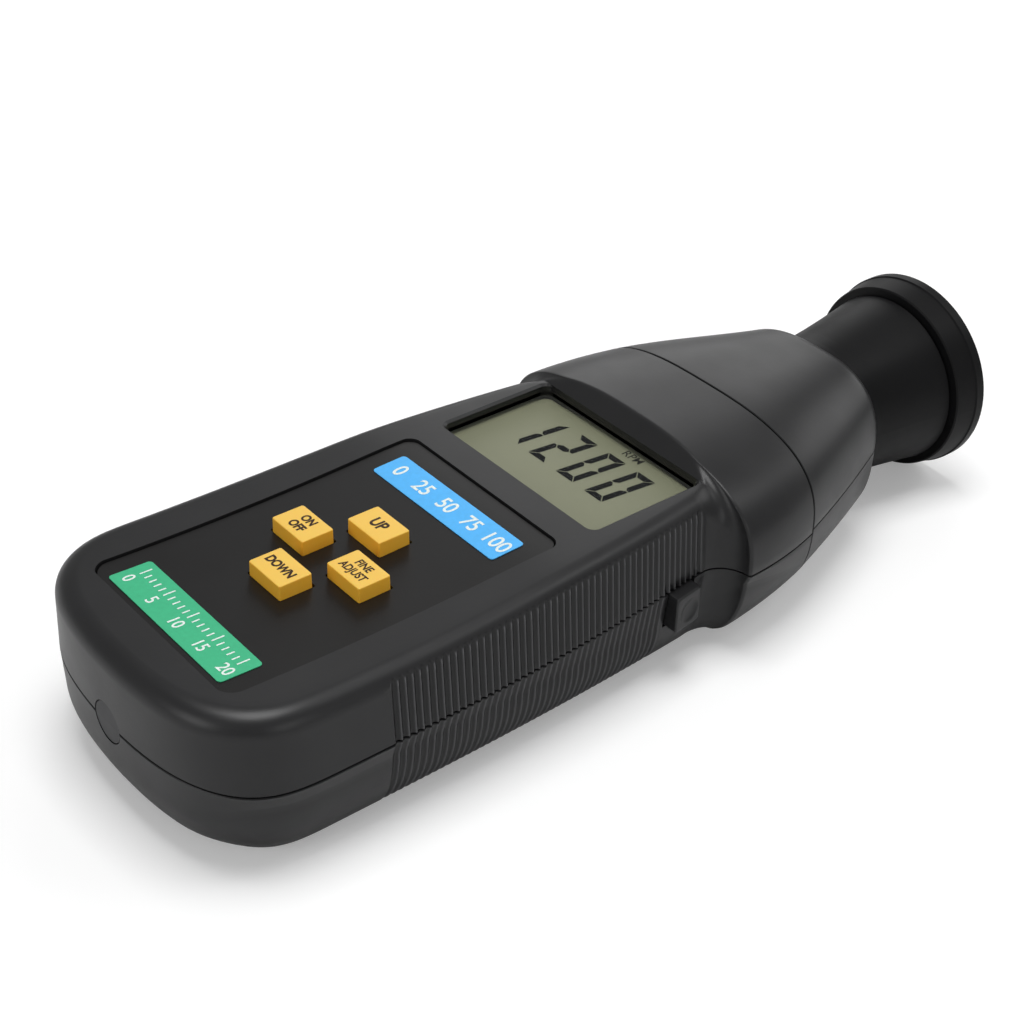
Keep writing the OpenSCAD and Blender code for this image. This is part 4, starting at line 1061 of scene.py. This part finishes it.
def build_floor():
    """A pale table that leans with the line from the lamp ring to the tail, on which the housing rests.

    To the camera it grows white with distance; near the part it keeps the shadow.
    """
    tilt = BACK_Z / (FRONT_Y - PLATE_Y0)
    corners = FLOOR_HALF * np.array([(-1, -1), (1, -1), (1, 1), (-1, 1)])
    verts = [(x, y, tilt * (FRONT_Y - y) - FLOOR_GAP) for x, y in corners]
    floor = new_object("floor", verts, [(0, 1, 2, 3)])
    if floor.data.polygons[0].normal.z < 0:
        floor.data.flip_normals()
    mat, tree, shader = mat_base("floor_pale", rough=0.9, spec=0.1)
    cloud = spread(tree, noise(tree, scale=3, detail=2), 0, 1)
    set_colour(tree, shader, tint(tree, cloud, (FLOOR_DARK,) * 3, (FLOOR_LIGHT,) * 3))
    reach = tree.nodes.new("ShaderNodeVectorMath")
    reach.operation = "LENGTH"
    tree.links.new(coords(tree), reach.inputs[0])
    level = tree.nodes.new("ShaderNodeMapRange")
    ends = zip(("From Min", "From Max", "To Min", "To Max"), (*FLOOR_FADE, FLOOR_LIFT, 1.0))
    for name, value in ends:
        level.inputs[name].default_value = value
    tree.links.new(reach.outputs["Value"], level.inputs["Value"])
    seen = tree.nodes.new("ShaderNodeMath")
    seen.operation = "MULTIPLY"
    tree.links.new(tree.nodes.new("ShaderNodeLightPath").outputs["Is Camera Ray"], seen.inputs[0])
    tree.links.new(level.outputs["Result"], seen.inputs[1])
    tree.links.new(seen.outputs["Value"], shader.inputs["Emission Strength"])
    shader.inputs["Emission Color"].default_value = (1, 1, 1, 1)
    floor.data.materials.append(mat)


# Name, azimuth from +X toward +Y and elevation in degrees, width, power in watts
SOFTBOXES = (("overhead", 0, 90, 0.55, 7.3), ("tail_fill", 270, 22, 0.5, 2.0),
             ("right_fill", 0, 22, 0.5, 1.1), ("nose_fill", 90, 22, 0.5, 1.35),
             ("left_back", 135, 22, 0.5, 1.3), ("right_back", 60, 50, 0.3, 0.9))
LIGHT_REACH, LIGHT_TARGET = 1.1, Vector((0, 0, 0.03))


def softbox(name, azimuth, elevation, width, power):
    """A square area light that looks at the part."""
    az, el = math.radians(azimuth), math.radians(elevation)
    away = Vector((math.cos(az) * math.cos(el), math.sin(az) * math.cos(el), math.sin(el)))
    place = LIGHT_TARGET + LIGHT_REACH * away
    light = bpy.data.lights.new(name, "AREA")
    light.size = width
    light.energy = power
    obj = bpy.data.objects.new(name, light)
    bpy.context.collection.objects.link(obj)
    obj.location = place
    obj.rotation_euler = (LIGHT_TARGET - place).to_track_quat("-Z", "Y").to_euler()


def build_world():
    """White to the camera, an even dim fill to the part."""
    world = bpy.data.worlds.new("studio")
    bpy.context.scene.world = world
    world.use_nodes = True
    tree = world.node_tree
    back = tree.nodes["Background"]
    path = tree.nodes.new("ShaderNodeLightPath")
    level = tree.nodes.new("ShaderNodeMapRange")
    level.inputs["To Min"].default_value = WORLD_LEVEL
    level.inputs["To Max"].default_value = 1.0
    tree.links.new(path.outputs["Is Camera Ray"], level.inputs["Value"])
    tree.links.new(level.outputs["Result"], back.inputs["Strength"])
    back.inputs["Color"].default_value = (1, 1, 1, 1)


CAMERA_PLACE = (252.38, -223.23, 254.98)
CAMERA_AZIMUTH, CAMERA_ELEVATION, CAMERA_ROLL = 50.287, 34.447, 1.711
CAMERA_LENS, SENSOR = 70.13, 36


def build_camera():
    """The camera fitted to the photo: azimuth from -Y toward +X, elevation and roll in degrees."""
    az, el, roll = (math.radians(a) for a in (CAMERA_AZIMUTH, CAMERA_ELEVATION, CAMERA_ROLL))
    back = Vector((math.sin(az) * math.cos(el), -math.cos(az) * math.cos(el), math.sin(el)))
    level = Vector((0, 0, 1)).cross(back).normalized()
    upright = back.cross(level)
    right = level * math.cos(roll) + upright * math.sin(roll)
    up = back.cross(right)
    data = bpy.data.cameras.new("camera")
    data.lens, data.sensor_width, data.sensor_fit = CAMERA_LENS, SENSOR, "HORIZONTAL"
    data.clip_start = 0.01
    cam = bpy.data.objects.new("camera", data)
    bpy.context.collection.objects.link(cam)
    turn = Matrix((right, up, back)).transposed().to_4x4()
    cam.matrix_world = Matrix.Translation(Vector(CAMERA_PLACE) * MM) @ turn
    bpy.context.scene.camera = cam


def main():
    """Builds all pieces, the studio and the camera."""
    scene = bpy.context.scene
    scene.view_settings.view_transform = "Standard"
    build_upper_shell()
    build_lower_shell()
    build_nose_cap(1)
    build_nose_cap(-1)
    for name in KEYS:
        build_key(name)
    build_trigger()
    build_faceplate()
    build_label("label_blue", BLUE, "blue_film")
    build_label("label_green", GREEN, "green_film")
    build_legends()
    build_scales()
    build_digits()
    build_text("display_unit", "RPM", UNIT_X, UNIT_Y, PANEL_TOP + PRINT_LIFT, UNIT_SIZE, MARK,
               "housing", "display_cell", UNIT_BOLD)
    dress_nodes()
    build_floor()
    build_world()
    for light in SOFTBOXES:
        softbox(*light)
    build_camera()


main()
